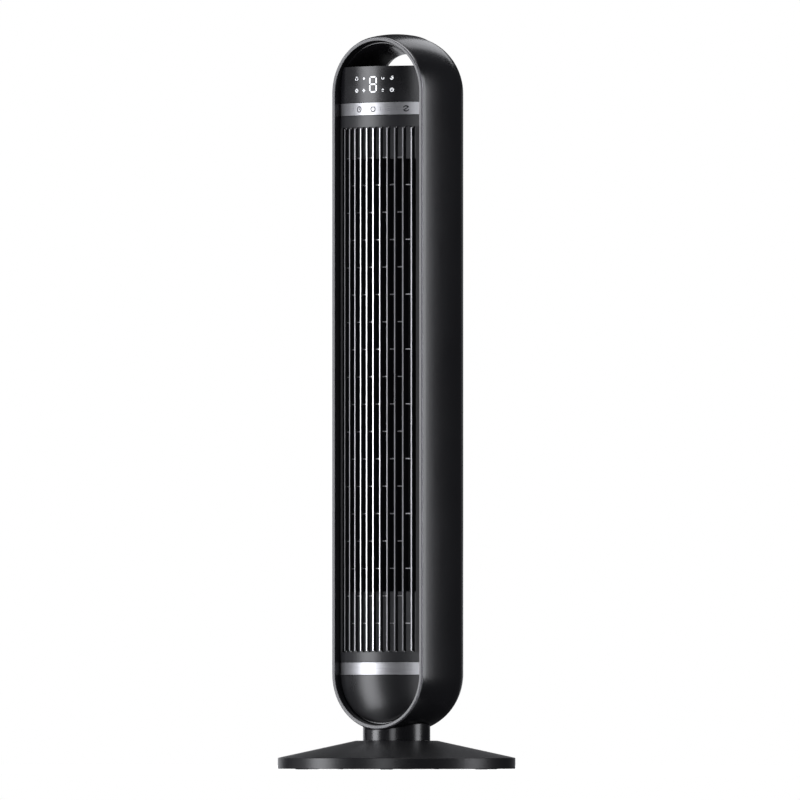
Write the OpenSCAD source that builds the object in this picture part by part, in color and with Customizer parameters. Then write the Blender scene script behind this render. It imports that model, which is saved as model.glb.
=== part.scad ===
// Tower fan: a tall round-ended tower that swings on a low conical base.
// Origin on the floor at the centre of the base, +Z up, air leaves towards -Y. Millimetres.

/* [Base] */
// Diameter of the base
base_d = 297; // [280:1:320]
// Height of the base's upright rim
rim_h = 14.6; // [12:0.1:18]
// Height of the flat top that the neck turns on
plateau_z = 36; // [34:0.5:38]
// Diameter of that flat top
plateau_d = 102; // [96:1:110]

/* [Tower] */
// Height of the centre of the lower round end
low_z = 119.5; // [118:0.5:121]
// Height of the centre of the upper round end
high_z = 845.5; // [840:0.5:900]
// Half width of the tower at its front ring
front_r = 69.5; // [69:0.1:71]
// Half width of the front housing at the seam
seam_r = 73.5; // [73:0.1:75]
// Extra crown of the side between ring and seam
side_crown = 2.3; // [1:0.1:3]
// Half width of the rear casing at the seam
case_r = 72; // [71.5:0.1:72.5]
// Depth of the rounded rear casing
case_depth = 64; // [60:1:70]
// Wall of the housings
wall = 2.5; // [2:0.1:3]

/* [Front] */
// Radius of the bowed front face
bow_r = 128; // [115:1:150]
// Half width of the front face
face_r = 62; // [61:0.1:62.4]
// Number of upright fins
fin_count = 11; // [9:2:13]
// Distance between fins
fin_pitch = 10.2; // [9:0.1:10.4]
// Thickness of a fin
fin_t = 1.9; // [1.5:0.1:2.4]

/* [Impeller] */
// Radius of the impeller
imp_r = 41.5; // [38:0.5:42]
// Number of blades
blade_count = 24; // [18:1:30]
// Number of stacked sections
section_count = 5; // [4:1:6]

/* [Hidden] */
$fn = 64;
eps = 0.05;
gap = 0.4;
ring_y = -42.5;
ring_fillet = 2;
seam_y = 24;
ledge_y = -32;
ledge_t = 2.5;
ledge_r = 58;
crest_y = -50.8;
shelf_z = 868;
lens_top = 878;
throat_r = 50;
neck_r = 42.15;
hub_r = 21;
hub_bore = 16;
imp_y = 22;
imp_low = 218;
imp_high = 768;
gear_m = 1.25;
gear_add = 0.8;
gear_ded = 1.05;
fixed_teeth = 52;
pinion_teeth = 13;
gear_z = 64;
gear_t = 6;
shaft_r = 4;
pin_r = 3;
strip_low = 817;
strip_high = 832.6;
rail_high = 802;
rail_low = 146.5;
trim_high = 133.7;
trim_low = 118.2;
mouth_low = 222;
mouth_high = 762;
chassis_z = 94;
post_xy = 21.9;
screw_zs = [130, 350, 580, 812];
boss_x = 58;
window_low = 205;
window_high = 785;
window_x = 52;
inlet_z = 8.7;
rim_bottom = 0.8;
axle_y = gear_m * (fixed_teeth + pinion_teeth) / 2;

// ---------- outlines ----------

// Half width of the front housing at depth y
function side_r(y) =
  let (t = (y - ring_y) / (seam_y - ring_y))
  front_r + (seam_r - front_r) * t + 4 * side_crown * t * (1 - t);

// Half width of the rear casing at depth y
function rear_r(y, in = 0) =
  (case_r - in) * sqrt(max(0, 1 - pow((y - seam_y) / (case_depth - in), 2)));

// Half width of the hand opening: narrowest at the seam, wider to the front and to the back
function front_flare(y) = throat_r + 14.7 * pow(max(0, seam_y - y) / (seam_y - ring_y), 1.5);
function rear_flare(y) = throat_r + 14 * pow(max(0, y - seam_y) / 30, 1.5);

// Depth of the bowed front face at half width x
function face_y(x) = crest_y + bow_r - sqrt(bow_r * bow_r - x * x);

function steps(from, to, n) = [for (i = [0:n]) from + (to - from) * i / n];

// ---------- shared shapes ----------

// Turns a profile (half width, depth) about the depth axis through half a turn
module round_end(up) {
  rotate([-90, 0, 0]) rotate([0, 0, up ? 180 : 0]) rotate_extrude(angle = 180) children();
}

// Profile (half width, depth) carried round the whole tower: straight sides and two round ends
module pill(low = low_z, high = high_z) {
  for (side = [0, 1]) mirror([side, 0, 0]) translate([0, 0, low]) linear_extrude(high - low) children();
  translate([0, 0, high]) round_end(true) children();
  translate([0, 0, low]) round_end(false) children();
}

// Solid between two heights that follows the bowed front face
module bow_slab(low, high, half_w, thick, set_back = 0) {
  translate([0, 0, low]) linear_extrude(high - low) intersection() {
    translate([0, crest_y + bow_r]) difference() {
      circle(bow_r - set_back, $fn = 256);
      circle(bow_r - set_back - thick, $fn = 256);
    }
    translate([-half_w, crest_y - 1]) square([2 * half_w, 40]);
  }
}

// Disc or rod standing upright at x, y from z up
module rod(x, y, z, h, r) {
  translate([x, y, z]) cylinder(h = h, r = r);
}

// Ring standing upright on the z axis
module tube(z, h, r_out, r_in) {
  translate([0, 0, z]) difference() {
    cylinder(h = h, r = r_out);
    translate([0, 0, -1]) cylinder(h = h + 2, r = r_in);
  }
}

// Upright screw: head_up true puts the head on top of the shank
module screw(x, y, z, h, r, head_r, head_h, head_up = true) {
  rod(x, y, z, h, r);
  rod(x, y, head_up ? z + h : z - head_h, head_h, head_r);
}

module at_corners(x, y) {
  for (sx = [-1, 1]) for (sy = [-1, 1]) translate([sx * x, sy * y, 0]) children();
}

// Inside of the tower as a flat outline, less a clearance, at a height drop below the straight part
module inside_outline(half_w, front, back, clear, drop = 0) {
  function inside_r(y) = y < seam_y ? side_r(y) - wall : rear_r(y, wall);
  ys = steps(front, back, 12);
  side = [for (y = ys) [min(half_w, sqrt(pow(inside_r(y), 2) - drop * drop) - clear), y]];
  polygon(concat(side, [for (i = [len(side) - 1:-1:0]) [-side[i][0], side[i][1]]]));
}

// Gear tooth flank radius by height above the base circle
function inv_angle(r, rb) = sqrt(max(0, r * r / (rb * rb) - 1)) * 180 / PI - acos(min(1, rb / r));

module gear_outline(teeth, play = 0.12) {
  rp = gear_m * teeth / 2;
  rb = rp * cos(20);
  ra = rp + gear_m * gear_add;
  rf = rp - gear_m * gear_ded;
  half = 90 / teeth - play / rp * 90 / PI;
  rs = steps(max(rb, rf + 0.1), ra, 4);
  flank = [for (r = rs) [r, half + inv_angle(rp, rb) - inv_angle(r, rb)]];
  one = concat([[rf, flank[0][1]]], flank);
  pitch = 360 / teeth;
  tooth = concat(
    [for (p = one) [p[0], -p[1]]],
    [for (i = [len(one) - 1:-1:0]) one[i]]
  );
  polygon([
    for (k = [0:teeth - 1]) for (p = tooth) [p[0] * cos(k * pitch + p[1]), p[0] * sin(k * pitch + p[1])]
  ]);
}

// ---------- base ----------

// Solid outline of the base, less an inset all round
module base_form(in) {
  rotate_extrude() polygon([
    [0, 0], [base_d / 2 - in, 0], [base_d / 2 - in, rim_h - in * 0.8],
    [plateau_d / 2 - in * 0.2, plateau_z - in], [0, plateau_z - in]
  ]);
}

module base_cover() {
  color("#232327") difference() {
    intersection() {
      base_form(0);
      rod(0, 0, rim_bottom, 60, base_d);
    }
    translate([0, 0, -0.1]) base_form(wall);
    rod(0, 0, 20, 30, hub_r + eps);
    for (a = [45:90:315]) rotate([0, 0, a]) rod(30, 0, 20, 14, 1.6);
    translate([0, base_d / 2 - 10, inlet_z]) rotate([-90, 0, 0]) cylinder(h = 20, r = 4.6);
    translate([0, base_d / 2 - 1.2, inlet_z]) rotate([-90, 0, 0]) cylinder(h = 20, r = 5.2);
  }
  color("#232327") difference() {
    intersection() {
      for (a = [30:60:330]) rotate([0, 0, a]) rod(120, 0, 4.2, 20, 4);
      base_form(1);
    }
    for (a = [30:60:330]) rotate([0, 0, a]) rod(120, 0, 3, 8, 1.55);
  }
}

module base_plate() {
  color("#1a1a1c") difference() {
    translate([0, 0, 1.7]) cylinder(h = 2.4, r = base_d / 2 - wall - gap);
    rod(0, 0, 0, 10, 30);
    for (a = [30:60:330]) rotate([0, 0, a]) rod(120, 0, 0, 10, 1.55);
  }
}

module ballast_ring() {
  color("#6d6f73") difference() {
    tube(4.2, 5, 112, 50);
    for (a = [0:120:240]) rotate([0, 0, a]) rod(80, 0, 0, 20, 3);
  }
}

module rubber_feet() {
  color("#121212") for (a = [0:60:300]) rotate([0, 0, a]) rod(130, 0, 0, 1.7, 8);
}

module base_screws() {
  color("#8a8a8e") for (a = [30:60:330]) rotate([0, 0, a]) {
    rod(120, 0, 1, 9, 1.5);
    rod(120, 0, 0.4, 1.3, 3);
  }
}

module swivel_hub() {
  color("#2c2c30") difference() {
    union() {
      rod(0, 0, 20, gear_z - 20, hub_r);
      rod(0, 0, plateau_z - wall - 4.15, 4, 36);
    }
    rod(0, 0, 0, 100, hub_bore);
    for (a = [45:90:315]) rotate([0, 0, a]) rod(30, 0, 20, 20, 1.6);
    for (a = [0:120:240]) rotate([0, 0, a]) rod(18.5, 0, 54, 20, 1.3);
  }
}

module hub_screws() {
  color("#8a8a8e") for (a = [45:90:315]) rotate([0, 0, a]) {
    screw(30, 0, plateau_z - wall - 4.15, 4.6, 1.55, 3, 1.8, false);
  }
}

module thrust_washer() {
  color("#d8d6cc") tube(plateau_z, 1.2, 34, 23);
}

module fixed_gear() {
  color("#d8d6cc") translate([0, 0, gear_z]) difference() {
    linear_extrude(gear_t) rotate([0, 0, 90 + 180 / fixed_teeth]) gear_outline(fixed_teeth);
    translate([0, 0, -1]) cylinder(h = gear_t + 2, r = hub_bore);
    for (a = [0:120:240]) rotate([0, 0, a]) rod(18.5, 0, -1, 20, 1.3);
  }
}

module gear_screws() {
  color("#8a8a8e") for (a = [0:120:240]) rotate([0, 0, a]) {
    screw(18.5, 0, 56, gear_z + gear_t - 56, 1.25, 2.3, 1.6);
  }
}

module cord_grommet() {
  color("#151515") translate([0, base_d / 2 - 5, inlet_z]) rotate([-90, 0, 0]) difference() {
    union() {
      cylinder(h = 4, r = 4.5);
      translate([0, 0, 3.9]) cylinder(h = 1, r = 5.1);
    }
    translate([0, 0, -5]) cylinder(h = 20, r = 3.4);
  }
}

// ---------- neck and turntable ----------

// Outside of the whole tower, grown by a clearance
module tower_form(grow) {
  ys = steps(ring_y - 2, seam_y, 8);
  back = steps(0, 85, 17);
  pill() polygon(concat(
    [[0, ring_y - 2]], [for (y = ys) [side_r(y) + grow, y]],
    [for (a = back) [(case_r + grow) * cos(a), seam_y + gap + (case_depth - gap + grow) * sin(a)]],
    [[0, seam_y + case_depth + grow]]
  ));
}

module neck() {
  color("#26262a") difference() {
    union() {
      difference() {
        rod(0, 0, plateau_z + 0.6, 26, neck_r);
        tower_form(1.3);
      }
      difference() {
        rod(0, 0, plateau_z + 1.6, 26, neck_r - 1.8);
        tower_form(0.1);
      }
    }
    difference() {
      rod(0, 0, plateau_z + 5, 40, neck_r - 4);
      at_corners(post_xy, post_xy) rod(0, 0, 0, 80, 4);
    }
    rod(0, 0, 0, plateau_z + 1.6, neck_r - 4);
    rod(0, 0, 0, 80, hub_r + eps);
    at_corners(post_xy, post_xy) rod(0, 0, plateau_z + 6, 40, 1.6);
  }
}

module neck_screws() {
  color("#8a8a8e") at_corners(post_xy, post_xy) screw(0, 0, plateau_z + 7, 17.1, 1.55, 3, 1.8);
}

module turntable_plate() {
  color("#77797d") difference() {
    intersection() {
      rod(0, 0, 57.1, 3, 34);
      translate([-31.5, -28.8, 50]) cube([63, 70, 20]);
    }
    rod(0, 0, 50, 20, 24);
    at_corners(post_xy, post_xy) rod(0, 0, 50, 20, 1.6);
  }
}

module swivel_bush() {
  color("#e6e4da") difference() {
    union() {
      rod(0, 0, 54, 6.1, 23.95);
      rod(0, 0, 60.1, 1.4, 26.5);
    }
    rod(0, 0, 40, 40, hub_r + eps);
  }
}

// ---------- housings ----------

module housing_profile() {
  fillet = [for (a = [90:-22.5:0]) [
    front_r - ring_fillet + ring_fillet * cos(a), ring_y + ring_fillet - ring_fillet * sin(a)
  ]];
  outer = [for (y = steps(ring_y + ring_fillet + 3, seam_y, 10)) [side_r(y), y]];
  inner = [for (y = steps(seam_y, ledge_y + ledge_t, 6)) [side_r(y) - wall, y]];
  polygon(concat(
    fillet, outer, inner,
    [[ledge_r, ledge_y + ledge_t], [ledge_r, ledge_y], [face_r + 0.6, ledge_y],
     [face_r + 0.6, -35], [64.75, ring_y]]
  ));
}

module casing_profile() {
  outer = [for (a = steps(0, 90, 18)) [case_r * cos(a), seam_y + gap + (case_depth - gap) * sin(a)]];
  inner = [for (a = steps(90, 0, 18)) [
    (case_r - wall) * cos(a), seam_y + gap + (case_depth - gap - wall) * sin(a)
  ]];
  polygon(concat(outer, inner));
}

// Solid of revolution that the hand opening is cut from, grown by a wall
module flare_form(grow) {
  front = [for (y = steps(-60, seam_y, 12)) [front_flare(y) + grow, y]];
  back = [for (y = steps(seam_y + 5, 64, 7)) [rear_flare(y) + grow, y]];
  translate([0, 0, high_z]) rotate([-90, 0, 0]) rotate_extrude() polygon(concat(
    [[0, -60]], front, back, [[rear_flare(64) + grow, 95], [0, 95]]
  ));
}

module hand_opening() {
  intersection() {
    flare_form(0);
    translate([-90, -70, shelf_z]) cube([180, 180, 90]);
  }
}

module handle_wall(y_from, y_to) {
  intersection() {
    flare_form(wall);
    translate([-90, y_from, shelf_z - wall]) cube([180, y_to - y_from, 90]);
  }
}

// Recessed screw posts near the tower's sides
module at_case_posts() {
  for (z = screw_zs) for (side = [-1, 1]) translate([side * boss_x, 0, z]) children();
}

module front_housing() {
  color("#202024") difference() {
    union() {
      pill() housing_profile();
      handle_wall(-33.6, seam_y);
      at_case_posts() rotate([-90, 0, 0]) translate([0, 0, -6]) cylinder(h = seam_y + 6, r = 4);
      for (z = screw_zs) for (side = [0, 1]) mirror([side, 0, 0]) {
        translate([boss_x + 3, -5, z - 1]) cube([seam_r - 1.5 - boss_x - 3, seam_y + 5, 2]);
      }
      intersection() {
        at_corners(post_xy, post_xy) rod(0, 0, 40, 17.1, 4.5);
        tower_form(-0.5);
      }
    }
    hand_opening();
    at_case_posts() rotate([-90, 0, 0]) translate([0, 0, 8]) cylinder(h = 30, r = 1.65);
    at_corners(post_xy, post_xy) rod(0, 0, 30, 40, 1.6);
    rod(0, 0, 30, 40, 24.4);
  }
}

module rear_casing() {
  color("#1c1c20") difference() {
    union() {
      pill() casing_profile();
      intersection() {
        union() {
          handle_wall(seam_y + gap, 96);
          at_case_posts() rotate([-90, 0, 0]) translate([0, 0, seam_y + gap]) cylinder(h = 60, r = 4.5);
        }
        pill() polygon(concat([[0, seam_y + gap]], [for (a = steps(0, 90, 18)) [
          (case_r - 0.6) * cos(a), seam_y + gap + (case_depth - 1) * sin(a)
        ]]));
      }
    }
    hand_opening();
    at_case_posts() rotate([-90, 0, 0]) translate([0, 0, seam_y]) cylinder(h = 80, r = 1.65);
    at_case_posts() rotate([-90, 0, 0]) translate([0, 0, seam_y + 4]) cylinder(h = 80, r = 3);
    translate([-window_x, 40, window_low]) cube([2 * window_x, 60, window_high - window_low]);
    rod(0, 0, 30, 40, 24.5);
    at_corners(post_xy, post_xy) rod(0, 0, 30, 28, 4.9);
  }
}

module case_screws() {
  color("#8a8a8e") at_case_posts() rotate([-90, 0, 0]) {
    translate([0, 0, 10]) cylinder(h = 18.4, r = 1.55);
    translate([0, 0, seam_y + 4]) cylinder(h = 2, r = 2.8);
  }
}

// Curved wall band of the rear casing, between two heights
module rear_band(low, high, half_w, thick, set_in = 0) {
  outer_a = acos(half_w / case_r);
  a_list = steps(outer_a, 180 - outer_a, 24);
  translate([0, 0, low]) linear_extrude(high - low) polygon(concat(
    [for (a = a_list) [(case_r - set_in) * cos(a), seam_y + (case_depth - set_in) * sin(a)]],
    [for (i = [len(a_list) - 1:-1:0]) let (a = a_list[i])
      [(case_r - set_in - thick) * cos(a), seam_y + (case_depth - set_in - thick) * sin(a)]]
  ));
}

module rear_grille() {
  low = window_low + gap;
  high = window_high - gap;
  edge = window_x - gap;
  slat_n = 21;
  row_n = 16;
  color("#1a1a1d") {
    rear_band(low, low + 8, edge, 2);
    rear_band(high - 8, high, edge, 2);
    for (i = [1:row_n]) let (z = low + (high - low) * i / (row_n + 1)) rear_band(z, z + 2, edge, 2);
    for (i = [0:slat_n - 1]) {
      x = -edge + 1.2 + (2 * edge - 2.4) * i / (slat_n - 1);
      y = seam_y + (case_depth - 1) * sqrt(1 - pow(x / (case_r - 1), 2));
      translate([x, y, low + 3]) rotate([0, 0, -atan(x / (y - seam_y) * 0.79)]) {
        translate([-0.9, -2.7, 0]) cube([1.8, 3, high - low - 6]);
      }
    }
  }
}

// ---------- front ----------

module front_grille() {
  back = ledge_y - 0.2;
  color("#2a2a2e") {
    bow_slab(rail_high, strip_low - gap, face_r, 2.4);
    bow_slab(trim_high + gap, rail_low, face_r, 2.4);
    for (side = [0, 1]) mirror([side, 0, 0]) intersection() {
      bow_slab(rail_low - 1, rail_high + 1, face_r, 12);
      translate([56.5, crest_y, 0]) cube([face_r - 56.5, back - crest_y, 900]);
    }
    for (i = [0:fin_count - 1]) let (x = (i - (fin_count - 1) / 2) * fin_pitch) {
      intersection() {
        bow_slab(rail_low - 1, rail_high + 1, face_r, 30);
        translate([x - fin_t / 2, crest_y - 1, 0]) {
          cube([fin_t, min(15 + (face_y(x) - crest_y) * 0.55, back + 1.2 - crest_y), 900]);
        }
      }
    }
    for (span = [[rail_low, mouth_low], [mouth_high, rail_high]]) intersection() {
      bow_slab(span[0], span[1], face_r - 4, 2, 5.5);
      translate([-face_r, crest_y, 0]) cube([2 * face_r, back - crest_y, 900]);
    }
    for (k = [0:17]) intersection() {
      bow_slab(763 - 34.2 * k, 764.6 - 34.2 * k, face_r - 4, 3, 5);
      for (g = [(k + 1) % 2:2:fin_count]) let (x = (g - (fin_count + 1) / 2 + 0.5) * fin_pitch) {
        translate([x - fin_pitch / 2, crest_y, 0]) cube([fin_pitch, back - crest_y, 900]);
      }
    }
  }
}

module display_lens() {
  color("#0b0b0d") intersection() {
    bow_slab(strip_high + gap, lens_top, face_r, 2.5);
    union() {
      translate([0, 0, high_z]) rotate([90, 0, 0]) cylinder(h = 80, r = face_r);
      translate([-face_r, -80, 800]) cube([2 * face_r, 80, high_z - 800]);
    }
  }
}

module control_housing() {
  color("#18181b") difference() {
    intersection() {
      bow_slab(rail_high + 2, lens_top - 1, ledge_r - 1, 28, 3);
      translate([0, 0, high_z]) rotate([90, 0, 0]) cylinder(h = 80, r = ledge_r - 1);
      translate([-80, -60, 0]) cube([160, 60 - 24, 900]);
    }
    bow_slab(rail_high + 4, shelf_z - wall - 2, ledge_r - 8, 20, 2);
    translate([-80, -36, shelf_z - wall - 0.3]) cube([160, 60, 20]);
    translate([-ledge_r + 8, -34, rail_high + 4]) cube([2 * ledge_r - 16, 8, 56]);
  }
}

module display_board() {
  color("#14532d") translate([-46, -30.2, 808]) cube([92, 1.6, 52]);
}

module digit_module() {
  color("#f2f2f2") {
    translate([-8, -46, 842]) cube([16, 10, 21]);
    translate([-4, -36.5, 846]) cube([8, 6.2, 12]);
  }
}

module touch_strip() {
  color("#b9b9bd") bow_slab(strip_low, strip_high, face_r, 2);
}

module touch_springs() {
  color("#c9a24a") for (i = [-2:2]) {
    translate([i * 20, -30.3, 824.5]) rotate([90, 0, 0]) difference() {
      cylinder(h = -30.3 - face_y(i * 20) - 3, r = 2.4);
      translate([0, 0, -1]) cylinder(h = 40, r = 1.6);
    }
  }
}

module lower_trim() {
  color("#b9b9bd") bow_slab(trim_low, trim_high, face_r, 2);
}

module lower_cover() {
  color("#202023") intersection() {
    translate([0, crest_y + bow_r, low_z]) difference() {
      sphere(bow_r, $fn = 256);
      sphere(bow_r - 2.4, $fn = 256);
    }
    translate([0, 0, low_z]) rotate([90, 0, 0]) cylinder(h = 80, r = 61.3);
    translate([-80, -80, 0]) cube([160, 80, trim_low - gap]);
  }
}

// ---------- inside: lower chamber ----------

module chassis_plate() {
  color("#3a3a3f") difference() {
    translate([0, 0, chassis_z]) linear_extrude(2.5) inside_outline(57, -28, 66, 3, low_z - chassis_z);
    for (s = [-1, 1]) rod(s * 50, -10, 80, 30, 1.6);
    for (s = [-1, 1]) rod(s * 22, axle_y, 80, 30, 1.6);
    for (s = [-1, 1]) rod(s * 50, 30, 80, 30, 1.6);
  }
  color("#3a3a3f") for (s = [-1, 1]) for (y = [-10, 30]) difference() {
    rod(s * 50, y, 80, 14, 4);
    rod(s * 50, y, 70, 30, 1.6);
  }
}

module chassis_screws() {
  color("#8a8a8e") for (s = [-1, 1]) for (y = [-10, 30]) screw(s * 50, y, 84, 12.5, 1.55, 3, 1.8);
}

module oscillation_motor() {
  color("#9a9ca0") difference() {
    union() {
      rod(0, axle_y, chassis_z - 16, 15.9, 17.5);
      translate([-26, axle_y - 4, chassis_z - 1.6]) cube([52, 8, 1.5]);
    }
    rod(0, axle_y, chassis_z - 20, 13, 2.55);
    for (s = [-1, 1]) rod(s * 22, axle_y, 80, 30, 1.6);
  }
}

module oscillation_screws() {
  color("#8a8a8e") for (s = [-1, 1]) screw(s * 22, axle_y, chassis_z - 1.6, 6, 1.55, 2.8, 1.6, false);
}

module board_standoffs() {
  color("#d8d6cc") for (s = [-1, 1]) for (y = [-18, 40]) rod(s * 36, y, chassis_z + 2.5, 6, 3);
}

module main_board() {
  color("#14532d") translate([-42, -24, chassis_z + 8.5]) cube([84, 70, 1.6]);
  color("#3a3a3f") translate([-34, -16, chassis_z + 10.1]) cube([26, 22, 18]);
  color("#2c4a86") rod(18, -8, chassis_z + 10.1, 22, 8);
  color("#e6e4da") for (i = [0:3]) translate([-30 + i * 17, 32, chassis_z + 10.1]) cube([12, 7, 9]);
}

// ---------- inside: air duct ----------

module duct_scroll() {
  t = 2;
  function scroll_at(a, grow) = let (r = 44.5 + grow + 9 * (a - 100) / 135) [r * cos(a), imp_y + r * sin(a)];
  inner = [for (a = steps(100, 200, 10)) scroll_at(a, 0)];
  outer = [for (a = steps(200, 100, 10)) scroll_at(a, t)];
  color("#1b1b1e") translate([0, 0, 215.1]) linear_extrude(770 - 215.1) polygon(concat(
    inner, [[-52.5, -27], [-54.5, -27]], outer
  ));
}

module duct_tongue() {
  color("#1b1b1e") translate([0, 0, 215.1]) linear_extrude(770 - 215.1) polygon([
    [51.5, -27], [53.2, -27], [53.2, 24], [48.5, 24], [48, 12], [42, 2.5], [43, 0.5]
  ]);
}

module duct_lower_plate() {
  color("#26262a") difference() {
    translate([0, 0, 212]) linear_extrude(3) inside_outline(55, -28, 76, 3.5);
    rod(0, imp_y, 200, 30, 12);
    for (a = [90:120:330]) translate([0, imp_y, 0]) rotate([0, 0, a]) rod(38, 0, 200, 30, 2);
  }
}

module duct_upper_plate() {
  color("#26262a") difference() {
    translate([0, 0, 770.1]) linear_extrude(3) inside_outline(55, -28, 76, 3.5);
    rod(0, imp_y, 760, 30, 14);
  }
}

// Panel that closes the front above or below the mouth of the duct, with rounded inner corners
module baffle(low, high, mouth) {
  color("#3a3a3d") difference() {
    translate([-56, -31, low]) cube([112, 2.2, high - low]);
    translate([0, -20, mouth]) rotate([90, 0, 0]) linear_extrude(20) {
      square([88, 16], center = true);
      for (s = [-1, 1]) translate([s * 44, 0]) circle(8);
    }
  }
}

module lower_baffle() {
  baffle(trim_low, mouth_low, mouth_low);
}

module upper_baffle() {
  baffle(mouth_high, 803.5, mouth_high);
}

// ---------- inside: fan motor and impeller ----------

module motor_can() {
  color("#8f9196") translate([0, imp_y, 0]) difference() {
    union() {
      rod(0, 0, 158, 48, 34);
      for (a = [90:120:330]) rotate([0, 0, a]) rod(38, 0, 203, 3, 5.5);
    }
    rod(0, 0, 161, 42, 32);
    rod(0, 0, 150, 70, 7);
    for (a = [90:120:330]) rotate([0, 0, a]) rod(38, 0, 190, 30, 2);
  }
}

module motor_stator() {
  color("#b08d57") translate([0, imp_y, 0]) {
    tube(172, 20, 31.9, 21);
    tube(168, 28, 30, 23);
  }
}

module motor_bushes() {
  color("#b08d57") translate([0, imp_y, 0]) for (z = [157, 201]) tube(z, 6, 6.95, shaft_r + eps);
}

module motor_grommets() {
  color("#141414") translate([0, imp_y, 0]) for (a = [90:120:330]) rotate([0, 0, a]) {
    translate([38, 0, 0]) tube(206, 6, 5.5, 2);
  }
}

module motor_screws() {
  color("#8a8a8e") translate([0, imp_y, 0]) for (a = [90:120:330]) rotate([0, 0, a]) {
    screw(38, 0, 203, 15, 1.9, 3.2, 2, false);
  }
}

module motor_shaft() {
  color("#c8cacd") rod(0, imp_y, 152, 76, shaft_r);
}

module motor_rotor() {
  color("#7a7c80") translate([0, imp_y, 0]) tube(172, 20, 20.4, shaft_r);
}

module impeller_hub() {
  color("#2b2b2b") translate([0, imp_y, 0]) tube(216, 11, 9, shaft_r);
}

// One blade of the impeller, bent forwards, as a flat outline
module blade() {
  r_in = imp_r - 10;
  rs = steps(r_in, imp_r - 0.4, 3);
  function lead(r) = 15 * pow((r - r_in) / 10, 1.6);
  polygon(concat(
    [for (r = rs) [r * cos(lead(r)), r * sin(lead(r))]],
    [for (i = [3:-1:0]) let (r = rs[i], a = lead(r) + 1.8) [r * cos(a), r * sin(a)]]
  ));
}

module impeller() {
  pitch = (imp_high - imp_low - 2) / section_count;
  color("#33353a") translate([0, imp_y, 0]) {
    translate([0, 0, imp_low + 1]) linear_extrude(imp_high - imp_low - 2) {
      for (k = [0:blade_count - 1]) rotate([0, 0, k * 360 / blade_count]) blade();
    }
    for (i = [1:section_count - 1]) tube(imp_low + i * pitch, 2, imp_r, imp_r - 11);
    tube(imp_low, 2, imp_r, 9);
    rod(0, 0, imp_high - 2, 2, imp_r);
  }
}

module top_pin() {
  color("#c8cacd") rod(0, imp_y, imp_high, 13, pin_r);
}

module top_bearing_bush() {
  color("#b08d57") translate([0, imp_y, 0]) tube(770.5, 9, 6, pin_r + eps);
}

module top_bearing_holder() {
  color("#1d1d1f") translate([0, imp_y, 0]) {
    tube(770.5, 12, 13.8, 6);
    tube(773.1, 2.4, 20, 6);
  }
}

module drive_pinion() {
  color("#d8d6cc") translate([0, axle_y, 0]) {
    translate([0, 0, gear_z + 0.5]) linear_extrude(gear_t - 1) rotate([0, 0, -90]) gear_outline(pinion_teeth);
    rod(0, 0, gear_z + 0.5, chassis_z - 8 - gear_z, 2.5);
  }
}

module wiring_harness() {
  r = 2.2;
  x = 62.5;
  y = -12;
  color("#1f1f1f") {
    rod(x, y, 150, 660, r);
    translate([x, y, 810]) sphere(r);
    translate([x, y, 150]) sphere(r);
    translate([x, y, 150]) rotate([0, -90, 0]) cylinder(h = 20, r = r);
    translate([x, y, 810]) rotate([0, -90, 0]) cylinder(h = 20, r = r);
  }
}

base_cover();
base_plate();
ballast_ring();
rubber_feet();
base_screws();
swivel_hub();
hub_screws();
thrust_washer();
fixed_gear();
gear_screws();
cord_grommet();
neck();
neck_screws();
turntable_plate();
swivel_bush();
front_housing();
rear_casing();
case_screws();
rear_grille();
front_grille();
display_lens();
control_housing();
display_board();
digit_module();
touch_strip();
touch_springs();
lower_trim();
lower_cover();
chassis_plate();
chassis_screws();
oscillation_motor();
oscillation_screws();
main_board();
board_standoffs();
duct_scroll();
duct_tongue();
duct_lower_plate();
duct_upper_plate();
lower_baffle();
upper_baffle();
motor_can();
motor_stator();
motor_bushes();
motor_grommets();
motor_screws();
top_bearing_holder();
top_bearing_bush();
wiring_harness();
impeller();
impeller_hub();
motor_shaft();
motor_rotor();
top_pin();
drive_pinion();
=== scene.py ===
"""Tower fan: the finished look of every piece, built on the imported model's frame.

Metres, origin on the floor at the centre of the base, +Z up, air leaves towards -Y.
"""

import logging
import math
from collections.abc import Callable, Iterable, Sequence
from dataclasses import dataclass
from enum import Enum

import bmesh
import bpy
from mathutils import Matrix, Vector


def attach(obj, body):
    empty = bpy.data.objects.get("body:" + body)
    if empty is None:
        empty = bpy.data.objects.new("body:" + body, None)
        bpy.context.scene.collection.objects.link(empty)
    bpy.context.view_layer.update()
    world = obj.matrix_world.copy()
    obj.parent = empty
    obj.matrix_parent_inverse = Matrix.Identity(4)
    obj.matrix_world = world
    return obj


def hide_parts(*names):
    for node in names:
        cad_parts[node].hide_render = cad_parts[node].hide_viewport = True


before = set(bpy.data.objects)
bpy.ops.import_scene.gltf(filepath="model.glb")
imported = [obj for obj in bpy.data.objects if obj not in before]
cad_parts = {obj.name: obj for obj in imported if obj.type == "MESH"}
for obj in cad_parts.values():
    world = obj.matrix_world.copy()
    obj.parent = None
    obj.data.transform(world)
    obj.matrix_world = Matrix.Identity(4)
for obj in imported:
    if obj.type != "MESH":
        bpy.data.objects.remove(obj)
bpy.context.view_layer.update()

LOG = logging.getLogger("tower_fan")
Colour = tuple[float, float, float]
Outline = list[tuple[float, float]]
Material = bpy.types.Material
Shape = bmesh.types.BMesh
Edge = bmesh.types.BMEdge
Corner = bmesh.types.BMVert
ORIGIN = Vector((0.0, 0.0, 0.0))
DEPTH_AXIS = Vector((0.0, 1.0, 0.0))
UPRIGHT = Vector((0.0, 0.0, 1.0))
SAME_PLACE = 0.0000015
SLIVER = 0.000001
LONG_EDGE = 0.1


# ---------- shader arithmetic ----------


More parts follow.
